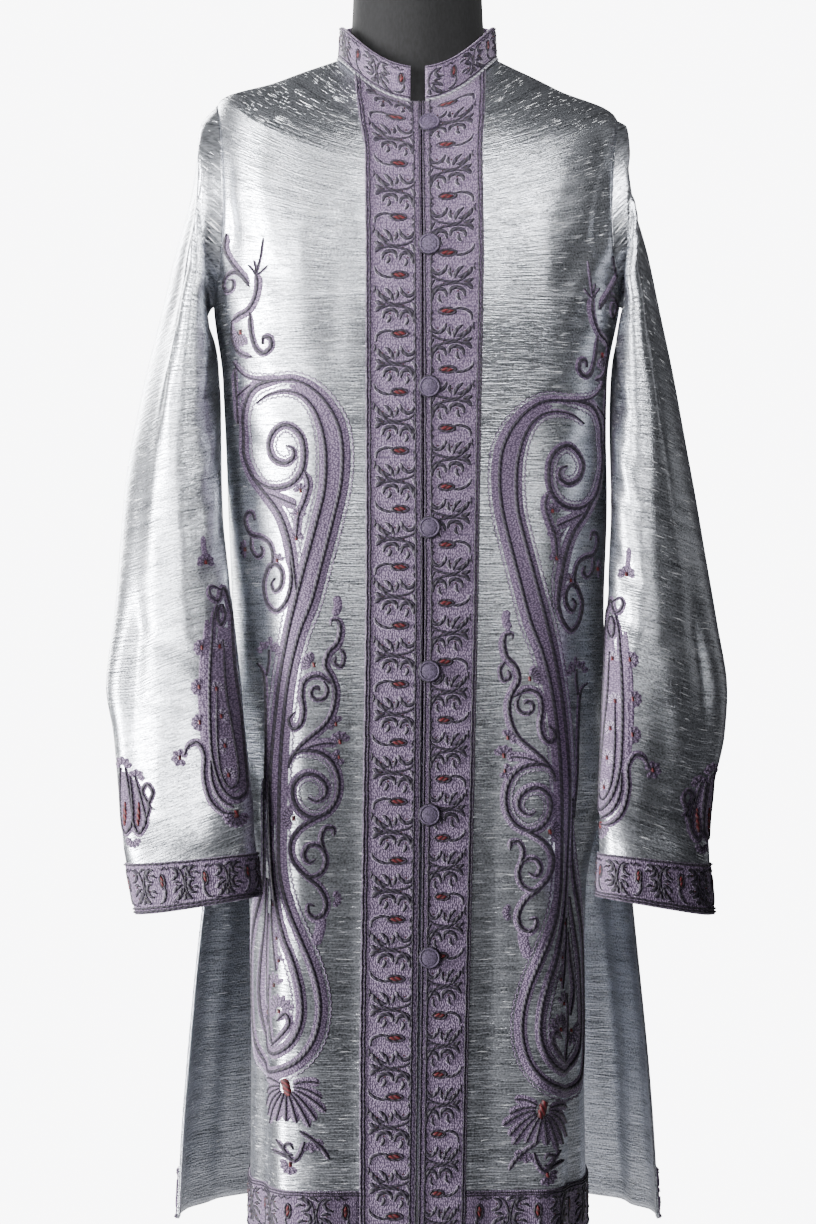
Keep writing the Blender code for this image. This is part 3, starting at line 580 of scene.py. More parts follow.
def shell(name, grid, normals, wall, material, slot, closed=False, replaces=(), lean=0.0):
    """A thin wall under the grid: its outer side, its inner side and the rim between them. The
    UVs are metres along the cloth, and lean is the slope of its weft."""
    rows, columns = grid.shape[:2]
    inner_grid = grid - wall * normals
    verts = np.concatenate([grid.reshape(-1, 3), inner_grid.reshape(-1, 3)])
    wide = np.concatenate([grid, grid[:, :1]], axis=1) if closed else grid
    middle = wide.shape[1] // 2
    u, v = arc(wide, 1), arc(wide, 0)
    u = u - u[:, middle : middle + 1]
    v = np.repeat(v[:, middle : middle + 1], wide.shape[1], axis=1)
    uv = np.stack([u, v + lean * u], axis=-1)
    flat_uv = uv.reshape(-1, 2)
    quads, marks = cells(rows, columns, closed), cells(rows, wide.shape[1])
    corner = grid.reshape(-1, 3)[quads[0]]
    facing = np.cross(corner[1] - corner[0], corner[2] - corner[0])
    if facing @ normals.reshape(-1, 3)[quads[0, 0]] < 0:
        quads, marks = quads[:, ::-1], marks[:, ::-1]
    other = rows * columns
    faces = [quads, quads[:, ::-1] + other]
    uvs = [marks, marks[:, ::-1]]
    # The rim takes each open edge of the outer side, turned over to the inner side.
    edges = {}
    for quad, mark in zip(quads.tolist(), marks.tolist()):
        for a in range(4):
            b = (a + 1) % 4
            pair = (quad[a], quad[b])
            if (pair[1], pair[0]) in edges:
                del edges[(pair[1], pair[0])]
            else:
                edges[pair] = (mark[a], mark[b])
    rim = np.array([(b, a, a + other, b + other) for a, b in edges])
    rim_marks = np.array([(mb, ma, ma, mb) for ma, mb in edges.values()])
    faces = np.concatenate(faces + [rim])
    marks = np.concatenate(uvs + [rim_marks])
    return new_piece(name, verts, faces, flat_uv[marks.ravel()], material, slot, replaces)


def declare(piece, grid, closed=False, with_pieces=()):
    """Measures the piece's cut size along the cloth, and does nothing more with it."""
    wide = np.concatenate([grid, grid[:, :1]], axis=1) if closed else grid
    width, length = arc(wide, 1)[:, -1].max(), arc(wide, 0)[-1].max()


# A surface that can be drawn on: two coordinates of its own (such as the place seen from the
# front, in metres) are turned into a row and column of its grid through a table.
Drawn = namedtuple("Drawn", "grid normals us vs rows columns closed")


def drawn(grid, normals, u, v, columns, closed=False, step=0.003):
    """u has to change steadily along the columns named, and v along the rows."""
    u, v = np.broadcast_arrays(u, v)
    if u[0, -1] < u[0, 0]:
        u, v, columns = u[:, ::-1], v[:, ::-1], columns[::-1]
    us = np.arange(u.min(), u.max() + step, step)
    vs = np.arange(v.min(), v.max() + step, step)
    column_at = np.stack([np.interp(us, u[i], columns) for i in range(len(u))])
    v_at = np.stack([np.interp(us, u[i], v[i]) for i in range(len(u))])
    rows = np.arange(len(u), dtype=float)
    row_table, column_table = np.zeros((len(us), len(vs))), np.zeros((len(us), len(vs)))
    for n in range(len(us)):
        line, order = v_at[:, n], rows
        if line[-1] < line[0]:
            line, order = line[::-1], rows[::-1]
        line = np.maximum.accumulate(line)
        row_table[n] = np.interp(vs, line, order)
        column_table[n] = np.interp(row_table[n], rows, column_at[:, n])
    return Drawn(grid, normals, us, vs, row_table, column_table, closed)


def lay(cloth, points, lift=0.0):
    """The points of the drawing as places on the cloth, lifted off it."""
    points = np.asarray(points, float)
    step = cloth.us[1] - cloth.us[0]
    fu = np.clip((points[..., 0] - cloth.us[0]) / step, 0, len(cloth.us) - 1.001)
    fv = np.clip((points[..., 1] - cloth.vs[0]) / step, 0, len(cloth.vs) - 1.001)
    i, j = fu.astype(int), fv.astype(int)
    a, b = fu - i, fv - j

    def mix(table):
        near = table[i, j] * (1 - b) + table[i, j + 1] * b
        far = table[i + 1, j] * (1 - b) + table[i + 1, j + 1] * b
        return near * (1 - a) + far * a

    row, column = mix(cloth.rows), mix(cloth.columns)
    count = cloth.grid.shape[1]
    row = np.clip(row, 0, len(cloth.grid) - 1.0001)
    i, j = np.floor(row).astype(int), np.floor(column).astype(int)
    a, b = (row - i)[..., None], (column - j)[..., None]
    if cloth.closed:
        j, k = j % count, (j + 1) % count
    else:
        j = np.clip(j, 0, count - 2)
        k = j + 1

    def at(table):
        return (table[i, j] * (1 - b) + table[i, k] * b) * (1 - a) + (
            table[i + 1, j] * (1 - b) + table[i + 1, k] * b
        ) * a

    normal = at(cloth.normals)
    normal /= np.maximum(np.linalg.norm(normal, axis=-1, keepdims=True), 1e-9)
    return at(cloth.grid) + np.asarray(lift)[..., None] * normal


def seen_across(grid, columns, middle):
    """Each point's place across the drawing: its x as seen from the front, and beyond the
    turn of the cloth the distance round it."""
    points = grid[:, columns % grid.shape[1]]
    dx = np.diff(points[..., 0], axis=1)
    ds = np.linalg.norm(np.diff(points, axis=1), axis=2)
    way = np.sign(dx[len(dx) // 2, min(middle, dx.shape[1] - 1)])
    step = way * np.maximum(np.abs(dx), 0.8 * ds)
    total = np.insert(np.cumsum(step, axis=1), 0, 0.0, axis=1)
    return points[:, middle, 0][:, None] + total - total[:, middle][:, None]


def along_path(path):
    """The distance along a path, and the unit vector to its left, at each of its points."""
    tangent = np.gradient(path, axis=0)
    tangent /= np.maximum(np.linalg.norm(tangent, axis=1, keepdims=True), 1e-9)
    run = np.insert(np.cumsum(np.linalg.norm(np.diff(path, axis=0), axis=1)), 0, 0.0)
    return run, np.stack([-tangent[:, 1], tangent[:, 0]], axis=1)


FULL_WIDTH = 0.0012  # a line of thread at least this wide has its full height
SUNK = 0.0004  # the depth in the cloth at which the needlework's edges end


class Needlework:
    """Gathers the strokes of one kind of thread on one piece, then makes them one mesh."""

    def __init__(self, name, material, slot):
        self.name, self.material, self.slot = name, material, slot
        self.verts, self.faces, self.uvs, self.count = [], [], [], 0

    def patch(self, points, marks, flip):
        """A grid of places with one UV pair each."""
        rows, columns = points.shape[:2]
        quads = cells(rows, columns)
        if flip:
            quads = quads[:, ::-1]
        self.verts.append(points.reshape(-1, 3))
        self.faces.append(quads + self.count)
        self.uvs.append(marks.reshape(-1, 2)[quads.ravel()])
        self.count += rows * columns

    def stroke(self, cloth, path, left, right, height, columns=5, base=0.0):
        """A raised line along path, from left on one side of it to right on the other."""
        path = np.asarray(path, float)
        if len(path) < 3:
            return
        run, side = along_path(path)
        left, right = np.broadcast_to(left, len(path)), np.broadcast_to(right, len(path))
        share = np.linspace(0, 1, columns)
        offset = -right[:, None] + (left + right)[:, None] * share
        flat = path[:, None, :] + offset[..., None] * side[:, None, :]
        crown = np.sqrt(np.maximum(1 - (2 * share - 1) ** 2, 0.0))
        rise = np.minimum(1.0, (left + right) / FULL_WIDTH)[:, None] * height * crown + base
        rise[:, [0, -1]] = -SUNK
        points = lay(cloth, flat, rise)
        marks = np.stack([np.broadcast_to(run[:, None], offset.shape), offset], axis=-1)
        a, b, c = points[0, 0], points[1, 0], points[0, -1]
        normal = lay(cloth, flat[0, 0], 0.01) - lay(cloth, flat[0, 0], 0.0)
        self.patch(points, marks, np.dot(np.cross(b - a, c - a), normal) < 0)

    def finish(self):
        """The mesh of all the strokes, if there are any."""
        if not self.verts:
            return None
        parts = [np.concatenate(part) for part in (self.verts, self.faces, self.uvs)]
        return new_piece(self.name, *parts, self.material, self.slot)


# Lines of the embroidery
def through(points, step=0.0016):
    """A smooth line through the points, sampled every step metres."""
    p = np.asarray(points, float)
    ends = np.concatenate([[2 * p[0] - p[1]], p, [2 * p[-1] - p[-2]]])
    out = []
    for a, b, c, d in zip(ends, ends[1:], ends[2:], ends[3:]):
        count = max(int(np.linalg.norm(c - b) / step), 2)
        t = np.linspace(0, 1, count, endpoint=False)[:, None]
        square, cube = 2 * a - 5 * b + 4 * c - d, 3 * b - a - 3 * c + d
        out.append(0.5 * (2 * b + (c - a) * t + square * t**2 + cube * t**3))
    return np.concatenate(out + [p[-1:]])


def spiral(centre, radius, inner, start, turns, step):
    """A spiral from its outside inwards. Angles are in degrees from the right, turns may be
    negative for the other way round."""
    length = abs(turns) * math.pi * (radius + inner)
    t = np.linspace(0, 1, max(int(length / step), 8))
    angle = math.radians(start) + turns * math.tau * t
    r = radius + (inner - radius) * t**0.85
    x, y = centre
    return np.stack([x + r * np.cos(angle), y + r * np.sin(angle)], axis=1)


def taper(count, first=0.15, last=0.15, share=0.12):
    """A width along a line that narrows at both ends."""
    t = np.linspace(0, 1, count)
    start_part = first + (1 - first) * np.clip(t / share, 0, 1) ** 0.7
    end_part = last + (1 - last) * np.clip((1 - t) / share, 0, 1) ** 0.7
    return start_part * end_part


# The pattern of the bands, one repeat: strokes in mm as (across, along), where across grows
# towards the opening and along goes down from the middle of the red lens, then the width.
LEAVES = (
    (((-14.0, 12.6), (-12.0, 17.0), (-7.2, 20.4), (-3.2, 21.0)), 3.4),
    (((-7.6, 11.6), (-4.0, 14.6), (-1.6, 18.8), (-0.6, 22.4)), 2.8),
    (((5.2, 10.6), (7.0, 15.4), (11.2, 18.6), (15.2, 17.0), (17.0, 12.6)), 2.8),
    (((2.6, 13.2), (3.2, 17.0), (1.8, 20.6)), 2.4),
    (((-15.2, 22.4), (-11.4, 24.6), (-7.8, 25.0)), 3.2),
    (((-7.6, 25.4), (-11.6, 27.4), (-14.8, 31.6)), 3.4),
    (((-9.0, 37.4), (-7.8, 32.6), (-3.0, 30.0), (1.8, 31.4), (3.0, 36.2)), 3.0),
    (((-3.8, 34.6), (-3.4, 38.2), (-5.6, 41.2)), 2.4),
    (((5.2, 38.2), (6.8, 32.8), (11.6, 31.4), (15.8, 35.4), (16.6, 41.4)), 3.0),
    (((10.6, 36.6), (11.4, 40.2), (9.2, 43.4)), 2.2),
    (((14.6, 23.6), (17.2, 27.2), (17.8, 31.0)), 2.4),
)
LINES = (
    (((-13.2, 16.2), (-7.0, 22.8), (0.0, 25.2), (8.2, 24.4), (14.6, 21.8), (18.2, 17.0)), 1.7),
    (((-12.6, 29.6), (-5.4, 26.8), (2.6, 27.0), (10.4, 28.6), (15.6, 31.6), (18.6, 37.8)), 1.7),
    (((17.6, -2.4), (15.6, 1.2), (18.4, 4.0), (15.8, 7.0), (18.2, 10.4)), 1.3),
    (((-16.6, 8.8), (-15.6, 12.0), (-16.8, 15.4)), 1.3),
)
TAILS = (
    ((0.6, -1.7), (-4.8, -2.6), (-10.0, -1.6), (-14.2, 1.6), (-14.8, 6.8)),
    ((0.6, 1.7), (-4.8, 2.1), (-10.0, 0.6), (-14.4, -2.6), (-16.0, -6.8)),
)
DOTS = (
    (-9.6, 17.0, 1.4), (0.8, 16.2, 1.3), (12.0, 15.0, 1.3), (-9.8, 25.6, 1.5),
    (-3.4, 33.2, 1.4), (11.6, 35.6, 1.3), (7.8, 26.4, 1.1),
)


LEAF_MARGIN, SEED_MARGIN = 0.0015, 0.003  # how far these stay from a band's ends


def band_pattern(threads, cloth, length, upright, shift, squeeze=1.0, repeat=REPEAT):
    """Draws the repeat along a band. Each leaf is a dark stroke with a pale line round it, partly
    pale edging thread and partly a painted highlight beside the raised stroke.
    """
    count = int(length / repeat) + 2

    def put(points, number):
        points = np.asarray(points, float) / 1000
        along = number * repeat + points[:, 1] * repeat / REPEAT + shift
        across = points[:, 0] * squeeze
        return np.stack([across, along] if upright else [along, across], axis=1), along

    lens = [(4.9 + 6.8 * math.cos(a), 2.8 * math.sin(a)) for a in np.linspace(0, math.tau, 17)]
    for number in range(-1, count):
        wobble = 0.5 * math.sin(2.1 * number + 7 * shift)
        strokes = [(line, width, 0.0010) for line, width in LEAVES]
        strokes += [(line, width, 0.0008) for line, width in LINES]
        strokes += [(TAILS[number % 2], 2.3, 0.0010), (lens, 1.8, 0.0009)]
        for line, width, height in strokes:
            bent = through([(a + wobble, b + 0.5 * wobble) for a, b in line], 1.5)
            path, along = put(bent, number)
            if along.min() < LEAF_MARGIN or along.max() > length - LEAF_MARGIN:
                continue
            half = width / 1200 * taper(len(path), 0.45, 0.5, 0.3)
            threads["cord"].stroke(cloth, path, half, half, height, 4, 0.0002)
            # The pale line round a leaf is partly its edging thread and partly a painted highlight
            # beside the raised dark stroke.
            if width > 2:
                threads["light"].stroke(cloth, path, half + 0.0010, half + 0.0010, 0.0004, 4)
        red = np.stack([np.linspace(-0.8, 10.6, 9), np.zeros(9)], axis=1)
        red, along = put(red, number)
        if along.min() > SEED_MARGIN and along.max() < length - SEED_MARGIN:
            swell = 0.0023 * np.sin(np.linspace(0.08, math.pi - 0.08, 9))
            threads["seed"].stroke(cloth, red, swell, swell, 0.0013, 5)
        for a, b, size in DOTS:
            dot, along = put([(a - size / 2, b), (a, b), (a + size / 2, b)], number)
            if along.min() > SEED_MARGIN and along.max() < length - SEED_MARGIN:
                threads["seed"].stroke(cloth, dot, size / 2000, size / 2000, 0.0016, 3)


def threads_for(name):
    """One gatherer for each kind of thread on a piece."""
    return {
        "cord": Needlework(f"{name}_cords", violet, "embroidery"),
        "fill": Needlework(f"{name}_fill", lilac, "embroidery"),
        "light": Needlework(f"{name}_pale_thread_and_painted_light", pale, "embroidery"),
        "seed": Needlework(f"{name}_red_seeds", crimson, "embroidery"),
    }


def finish_threads(threads):
    """The meshes of all kinds of thread on a piece."""
    return [work.finish() for work in threads.values()]


def embroider(name, cloth, length, cords, cord_width, upright=False, **pattern):
    """A band's pattern, and cords laid straight along it at these places across it. The pattern
    runs along the drawing's second coordinate if upright. Gives the threads."""
    threads = threads_for(name)
    band_pattern(threads, cloth, length, upright, **pattern)
    t = np.linspace(0, length, int(length / 0.004) + 2)
    for fixed in cords:
        wave = fixed + 0.00025 * np.sin(t * 260)
        path = np.stack([wave, t] if upright else [t, wave], axis=1)
        threads["cord"].stroke(cloth, path, cord_width / 2, cord_width / 2, 0.0014, 5)
    return threads


# The front view's pixels: their size in metres, the column at x = 0, the height of row 0, and
# twice the column about which the coat's halves mirror
PX, MIDDLE, TOP, TWICE_MIDDLE = 0.00086, 418, 1.4574, 838
BOLDER = 1.3  # the lines are drawn this much wider, so that they read at a distance
CORD_HALF = 0.58  # a cord's half width, as a share of the width that a vine is given
PICOT, PICOT_REACH = 0.0052, 0.0014  # a scalloped edge's spacing and depth


class Pen:
    """Draws on one cloth with its threads. Points are pixels of the front view on its left side,
    and the right side has them mirrored and shifted by dx and dy."""

    def __init__(self, threads, cloth, side, dx, dy):
        self.threads, self.cloth, self.side, self.dx, self.dy = threads, cloth, side, dx, dy

    def place(self, points):
        """Pixels of the drawing as metres in the front view."""
        x, y = np.asarray(points, float).T
        if self.side == "right":
            x, y = TWICE_MIDDLE - x + self.dx, y + self.dy
        return np.stack([(x - MIDDLE) * PX, TOP - PX * y], axis=1)

    def stroke(self, kind, path, left, right, height, columns, base=0.0):
        """A raised line of this kind of thread along a path in metres."""
        self.threads[kind].stroke(self.cloth, path, left, right, height, columns, base)

    def vine(self, points, left, right, cord=3.4, picots=0, smooth=True, ends=(0.15, 0.15)):
        """A couched cord with lilac stitching beside it. left and right are the stitching's
        widths in pixels; picots is 1 or -1 for a scalloped edge on that side."""
        line = through(points, 1.8) if smooth else points
        left, right, cord = BOLDER * left, BOLDER * right, BOLDER * cord
        path = self.place(line)
        if self.side == "right":
            left, right, picots = right, left, -picots
        narrow = taper(len(path), *ends)
        self.stroke("fill", path, left * PX * narrow, right * PX * narrow, 0.0007, 6)
        if cord:
            half = CORD_HALF * cord * PX * np.maximum(narrow, 0.45)
            self.stroke("cord", path, half, half, 0.0016, 5, 0.0003)
        if picots:
            run, outwards = along_path(path)
            width = (left if picots > 0 else right) * PX * narrow
            fine = np.linspace(0, run[-1], int(run[-1] / 0.0009) + 2)
            reach = np.interp(fine, run, width)
            reach += PICOT_REACH * np.abs(np.sin(fine * math.pi / PICOT))
            edge, away = (
                np.stack([np.interp(fine, run, part[:, n]) for n in (0, 1)], axis=1)
                for part in (path, outwards * picots)
            )
            loops = edge + away * reach[:, None]
            self.stroke("light", loops, 0.0008, 0.0008, 0.0008, 3)
            self.stroke("cord", loops + away * 0.0009, 0.00035, 0.00035, 0.0009, 3)

    def field(self, points, widths):
        """Solid lilac stitching along a line of points, with its half width at each."""
        line = through(points, 2.5)
        along = np.linspace(0, 1, len(line))
        half = np.interp(along, np.linspace(0, 1, len(widths)), widths) * PX
        self.stroke("fill", self.place(line), half, half, 0.0006, 11)

    def seed(self, points, half, height, columns):
        """A padded red seed along the points, half its width in metres."""
        self.stroke("seed", self.place(points), half, half, height, columns)

    def petals(self, centre, radius, first, last, count, width=3.0, red=2.4, thread="fill"):
        """A fan of petals round a red heart: angles in degrees, clockwise from the right."""
        x, y = centre
        reach = np.linspace(0.25, 1, 6) * radius
        half = 0.62 * width * PX * np.array([0.4, 0.8, 1.0, 1.1, 0.9, 0.35])
        for angle in np.linspace(first, last, count):
            a = math.radians(angle)
            path = self.place([(x + r * math.cos(a), y + r * math.sin(a)) for r in reach])
            self.stroke(thread, path, half * 1.7, half * 1.7, 0.0008, 5)
            self.stroke("cord", path[:5], half[:5] * 0.42, half[:5] * 0.42, 0.0013, 3, 0.0002)
        if red:
            self.seed([(x, y - red), (x, y), (x, y + red)], red * 0.8 * PX, 0.0016, 5)


def swan_neck(pen):
    """The great scroll: a neck of two cords that swells into a drop beside the slit."""
    outer = [
        (224, 356), (233, 366), (246, 374), (269, 378), (292, 378), (310, 386), (326, 402),
        (338, 425), (342, 452), (340, 485), (332, 521), (322, 560), (311, 602), (299, 634),
        (289, 676), (283, 726), (280, 777), (279, 830), (279, 862), (283, 888), (291, 914),
        (302, 940), (312, 964), (319, 990), (320, 1014), (314, 1038), (301, 1056), (284, 1067),
        (262, 1073), (240, 1070), (222, 1055), (210, 1030), (206, 1000), (211, 965), (222, 930),
        (236, 895), (248, 860), (256, 820), (260, 780),
    ]
    inner = [
        (254, 400), (267, 392), (285, 389), (301, 394), (313, 407), (321, 427), (325, 452),
        (324, 487), (317, 518), (307, 556), (297, 594), (288, 632), (280, 676), (273, 730),
        (269, 777), (267, 820), (268, 870), (275, 903), (284, 936), (294, 962), (301, 990),
        (302, 1016), (293, 1039), (277, 1052), (260, 1053), (243, 1045), (231, 1028), (226, 1000),
        (231, 962), (242, 920), (254, 880),
    ]
    middle = [((a + c) / 2, (b + d) / 2) for (a, b), (c, d) in zip(outer[4:18], inner[2:16])]
    pen.vine(middle, 8.5, 8.5, cord=0)
    pen.vine(outer, 7.5, 5.0, picots=1)
    pen.vine(inner, 5.0, 6.0, picots=-1)
    # The drop's own filling: flowers and leaves inside the inner cord.
    pen.petals((279, 1010), 17, 160, 340, 8, 3.4, 2.2)
    pen.petals((272, 985), 13, 180, 330, 5, 3.0, 1.8)
    pen.vine([(268, 1046), (280, 1036), (290, 1022), (286, 1012), (277, 1020)], 4, 4, 2.4)
    pen.vine([(270, 1044), (262, 1024), (258, 1000), (262, 976)], 4, 4, 2.4)
    pen.vine([(276, 970), (272, 950), (268, 925), (267, 900)], 4.5, 4.5, 2.2)
    pen.petals((248, 1015), 16, 20, 200, 7, 3.2, 1.8)
    pen.vine([(250, 1000), (244, 975), (250, 945), (258, 915)], 4.5, 4.5, 2.2)
    for x, y in ((279, 960), (276, 938), (270, 905)):
        pen.petals((x, y), 6, 200, 340, 4, 2.2, 1.6)


def loop_and_spiral(pen):
    """The round loop inside the neck, with its spiral and the leaves under it."""
    loop = [
        (292, 377), (272, 378), (255, 382), (243, 395), (236, 418), (237, 448), (246, 471),
        (262, 492), (278, 512), (287, 535), (292, 560), (296, 590),
    ]
    pen.vine(loop, 6.0, 7.0, picots=1)
    coil = [
        (248, 474), (262, 484), (276, 487), (291, 483), (301, 471), (304, 455), (302, 438),
        (294, 427), (283, 423), (272, 430), (267, 444), (272, 457), (284, 462), (293, 456),
        (292, 447), (285, 444),
    ]
    pen.vine(coil, 4.5, 4.0, 3.2, picots=1)
    pen.vine([(266, 492), (280, 498), (296, 505)], 5.5, 5.5, 1.8)
    pen.vine([(304, 470), (308, 484), (304, 500), (298, 516), (296, 538)], 4.5, 4.5, 2.2)
    for x, y in ((300, 490), (298, 514), (296, 538)):
        pen.petals((x, y), 8, 190, 350, 5, 2.8, 2.2)
    pen.vine([(226, 362), (228, 380), (229, 400), (228, 420)], 3, 8, 2.0)
    pen.vine([(229, 392), (238, 387), (248, 381)], 3, 3, 1.8)


def upper_sprig(pen):
    """The sprig under the arm: a horn, a curl, a stem and a small paisley."""
    horn = [(219, 226), (218, 241), (224, 253), (234, 265), (247, 279)]
    pen.vine(horn, 5.0, 3.0, 3.0)
    curl = [
        (247, 282), (237, 270), (227, 266), (217, 270), (213, 278), (218, 285), (226, 283),
        (227, 275), (221, 273),
    ]
    pen.vine(curl, 2.5, 3.0, 3.0)
    pen.vine([(254, 268), (256, 280), (253, 294), (245, 306), (234, 311), (224, 317)], 5, 4, 2.6)
    stem = [
        (248, 308), (249, 328), (254, 344), (262, 350), (270, 344), (269, 335), (262, 334),
        (261, 341),
    ]
    pen.vine(stem, 3.5, 3.5, 3.0)
    pen.petals((236, 327), 15, 60, 170, 6, 4.0, 2.6)
    pen.vine([(226, 316), (224, 330), (229, 343), (238, 350), (249, 353)], 3.5, 3, 2.2)
    for x, y in ((246, 260), (252, 256), (262, 234), (266, 262)):
        pen.vine([(254, 272), ((254 + x) / 2 + 1, (272 + y) / 2), (x, y)], 1.2, 1.2, 1.0)


def lower_curls(pen):
    """Curls between the loop and the side seam, ending in a small spiral."""
    curl = [
        (249, 519), (246, 511), (238, 512), (236, 522), (243, 533), (256, 536), (267, 543),
        (271, 556), (268, 568),
    ]
    pen.vine(curl, 3.5, 3.0, 3.0)
    pen.vine([(243, 536), (243, 548), (250, 556), (258, 552), (256, 545)], 3.0, 3.0, 2.6)
    around = [
        (290, 556), (291, 582), (286, 601), (275, 611), (263, 602), (259, 584), (264, 568),
        (274, 564), (281, 572), (280, 586), (273, 591), (269, 584), (273, 578),
    ]
    pen.vine(around, 3.5, 3.0, 3.0)
    pen.petals((233, 548), 10, 120, 260, 5, 3.0, 2.0)
    pen.petals((276, 560), 8, 200, 340, 4, 2.6, 1.8)
    for x, y, first, last in ((267, 648, 200, 340), (259, 652, 190, 290), (272, 655, 250, 350)):
        pen.petals((x, y), 11, first, last, 3, 3.6, 0)
    pen.vine([(249, 664), (259, 674), (262, 700), (263, 740), (261, 800)], 3.0, 3.0, 2.6)
    pen.vine([(263, 676), (266, 662), (266, 650)], 1.5, 1.5, 2.0)


def small_scrolls(pen):
    """The chain of scrolls beside the front band."""
    main = [
        (331, 626), (332, 620), (338, 621), (340, 630), (337, 643), (328, 653), (325, 666),
        (331, 678), (335, 691), (333, 708), (325, 724), (308, 739), (297, 750), (290, 764),
    ]
    pen.vine(main, 5.0, 3.0, 3.2)
    pen.vine([(339, 648), (344, 656), (341, 667), (334, 663), (336, 656)], 2.5, 2.5, 2.4)
    branch = [
        (330, 683), (317, 676), (305, 681), (302, 695), (304, 711), (301, 724), (293, 729),
        (289, 720), (295, 712),
    ]
    pen.vine(branch, 3.5, 4.5, 3.0)
    pen.vine(spiral((317, 692), 12, 3, -60, 1.1, 1.8), 2.5, 2.5, 2.6, smooth=False)
    round_loop = [
        (289, 768), (291, 758), (301, 751), (318, 752), (331, 761), (338, 778), (337, 797),
        (328, 811), (314, 817), (301, 811), (294, 799), (294, 785), (303, 775), (315, 775),
        (325, 784), (325, 795), (316, 801), (308, 797),
    ]
    pen.vine(round_loop, 5.0, 4.0, 3.4, picots=-1)
    lower = [
        (330, 812), (314, 819), (299, 829), (291, 844), (294, 861), (306, 875), (319, 886),
        (326, 900), (324, 912), (316, 917), (309, 912), (309, 904), (315, 905),
    ]
    pen.vine(lower, 4.5, 3.0, 3.2)
    mid = [
        (297, 868), (310, 876), (322, 871), (326, 858), (320, 846), (309, 845), (304, 854),
        (309, 862), (316, 858),
    ]
    pen.vine(mid, 3.0, 3.5, 3.0)
    pen.vine([(324, 850), (321, 838), (325, 828), (333, 828), (334, 836)], 3.0, 3.0, 2.8)
    pen.petals((314, 665), 14, 170, 250, 5, 4.0, 2.4)
    pen.petals((336, 724), 9, 150, 300, 5, 3.4, 2.0)
    pen.petals((340, 742), 11, 160, 330, 6, 3.6, 2.4)
    pen.petals((339, 757), 8, 60, 250, 5, 3.2, 1.8)
    pen.petals((294, 818), 14, 130, 240, 6, 4.2, 2.6)
    pen.petals((333, 898), 9, -60, 60, 5, 3.0, 0)
    pen.vine([(322, 915), (320, 930), (315, 944)], 5.0, 5.0, 0)
    pen.vine([(334, 616), (338, 606), (336, 596)], 4.0, 4.0, 0)
    pen.vine([(306, 748), (320, 744), (334, 743)], 5.0, 4.0, 1.8)


def great_fan(pen):
    """The lotus under the drop: rays round a long red heart."""
    x, y = 287, 1085
    tilt = 0 if pen.side == "left" else -12
    for number, angle in enumerate(np.linspace(-30, 210, 13)):
        a = math.radians(angle + tilt)
        reach = 37 + 3 * math.cos(2 * a) - 4 * (number % 2)
        droop = 17 * abs(math.cos(math.radians(angle)))
        line = []
        for share in (0.2, 0.4, 0.6, 0.8, 1.0):
            r = reach * share
            line.append((x + r * math.cos(a), y + r * math.sin(a) + droop * share**2))
        pen.vine(line, 4.2, 4.2, 2.2, ends=(0.4, 0.3))
    heart = [(284, 1077), (286, 1081), (287, 1085), (288, 1089), (290, 1093)]
    pen.seed(heart, 4.6 * PX * np.array([0.75, 1.0, 1.0, 1.0, 0.75]), 0.0022, 7)


def hem_sprig(pen):
    """Leaves and stems between the lotus and the hem's border."""
    pen.vine([(270, 1149), (283, 1152), (295, 1158)], 2.5, 2.5, 2.6)
    pen.vine([(276, 1138), (284, 1146), (294, 1157), (301, 1150), (305, 1138)], 3.0, 3.0, 2.4)
    pen.vine([(294, 1152), (286, 1150), (285, 1143), (291, 1141), (294, 1146)], 2.0, 2.0, 2.2)
    pen.petals((291, 1161), 11, 60, 190, 5, 3.6, 2.6)
    pen.petals((312, 1136), 13, 20, 120, 4, 3.6, 0)
    pen.vine([(300, 1128), (310, 1134), (322, 1144), (330, 1156)], 2.5, 2.5, 2.8)


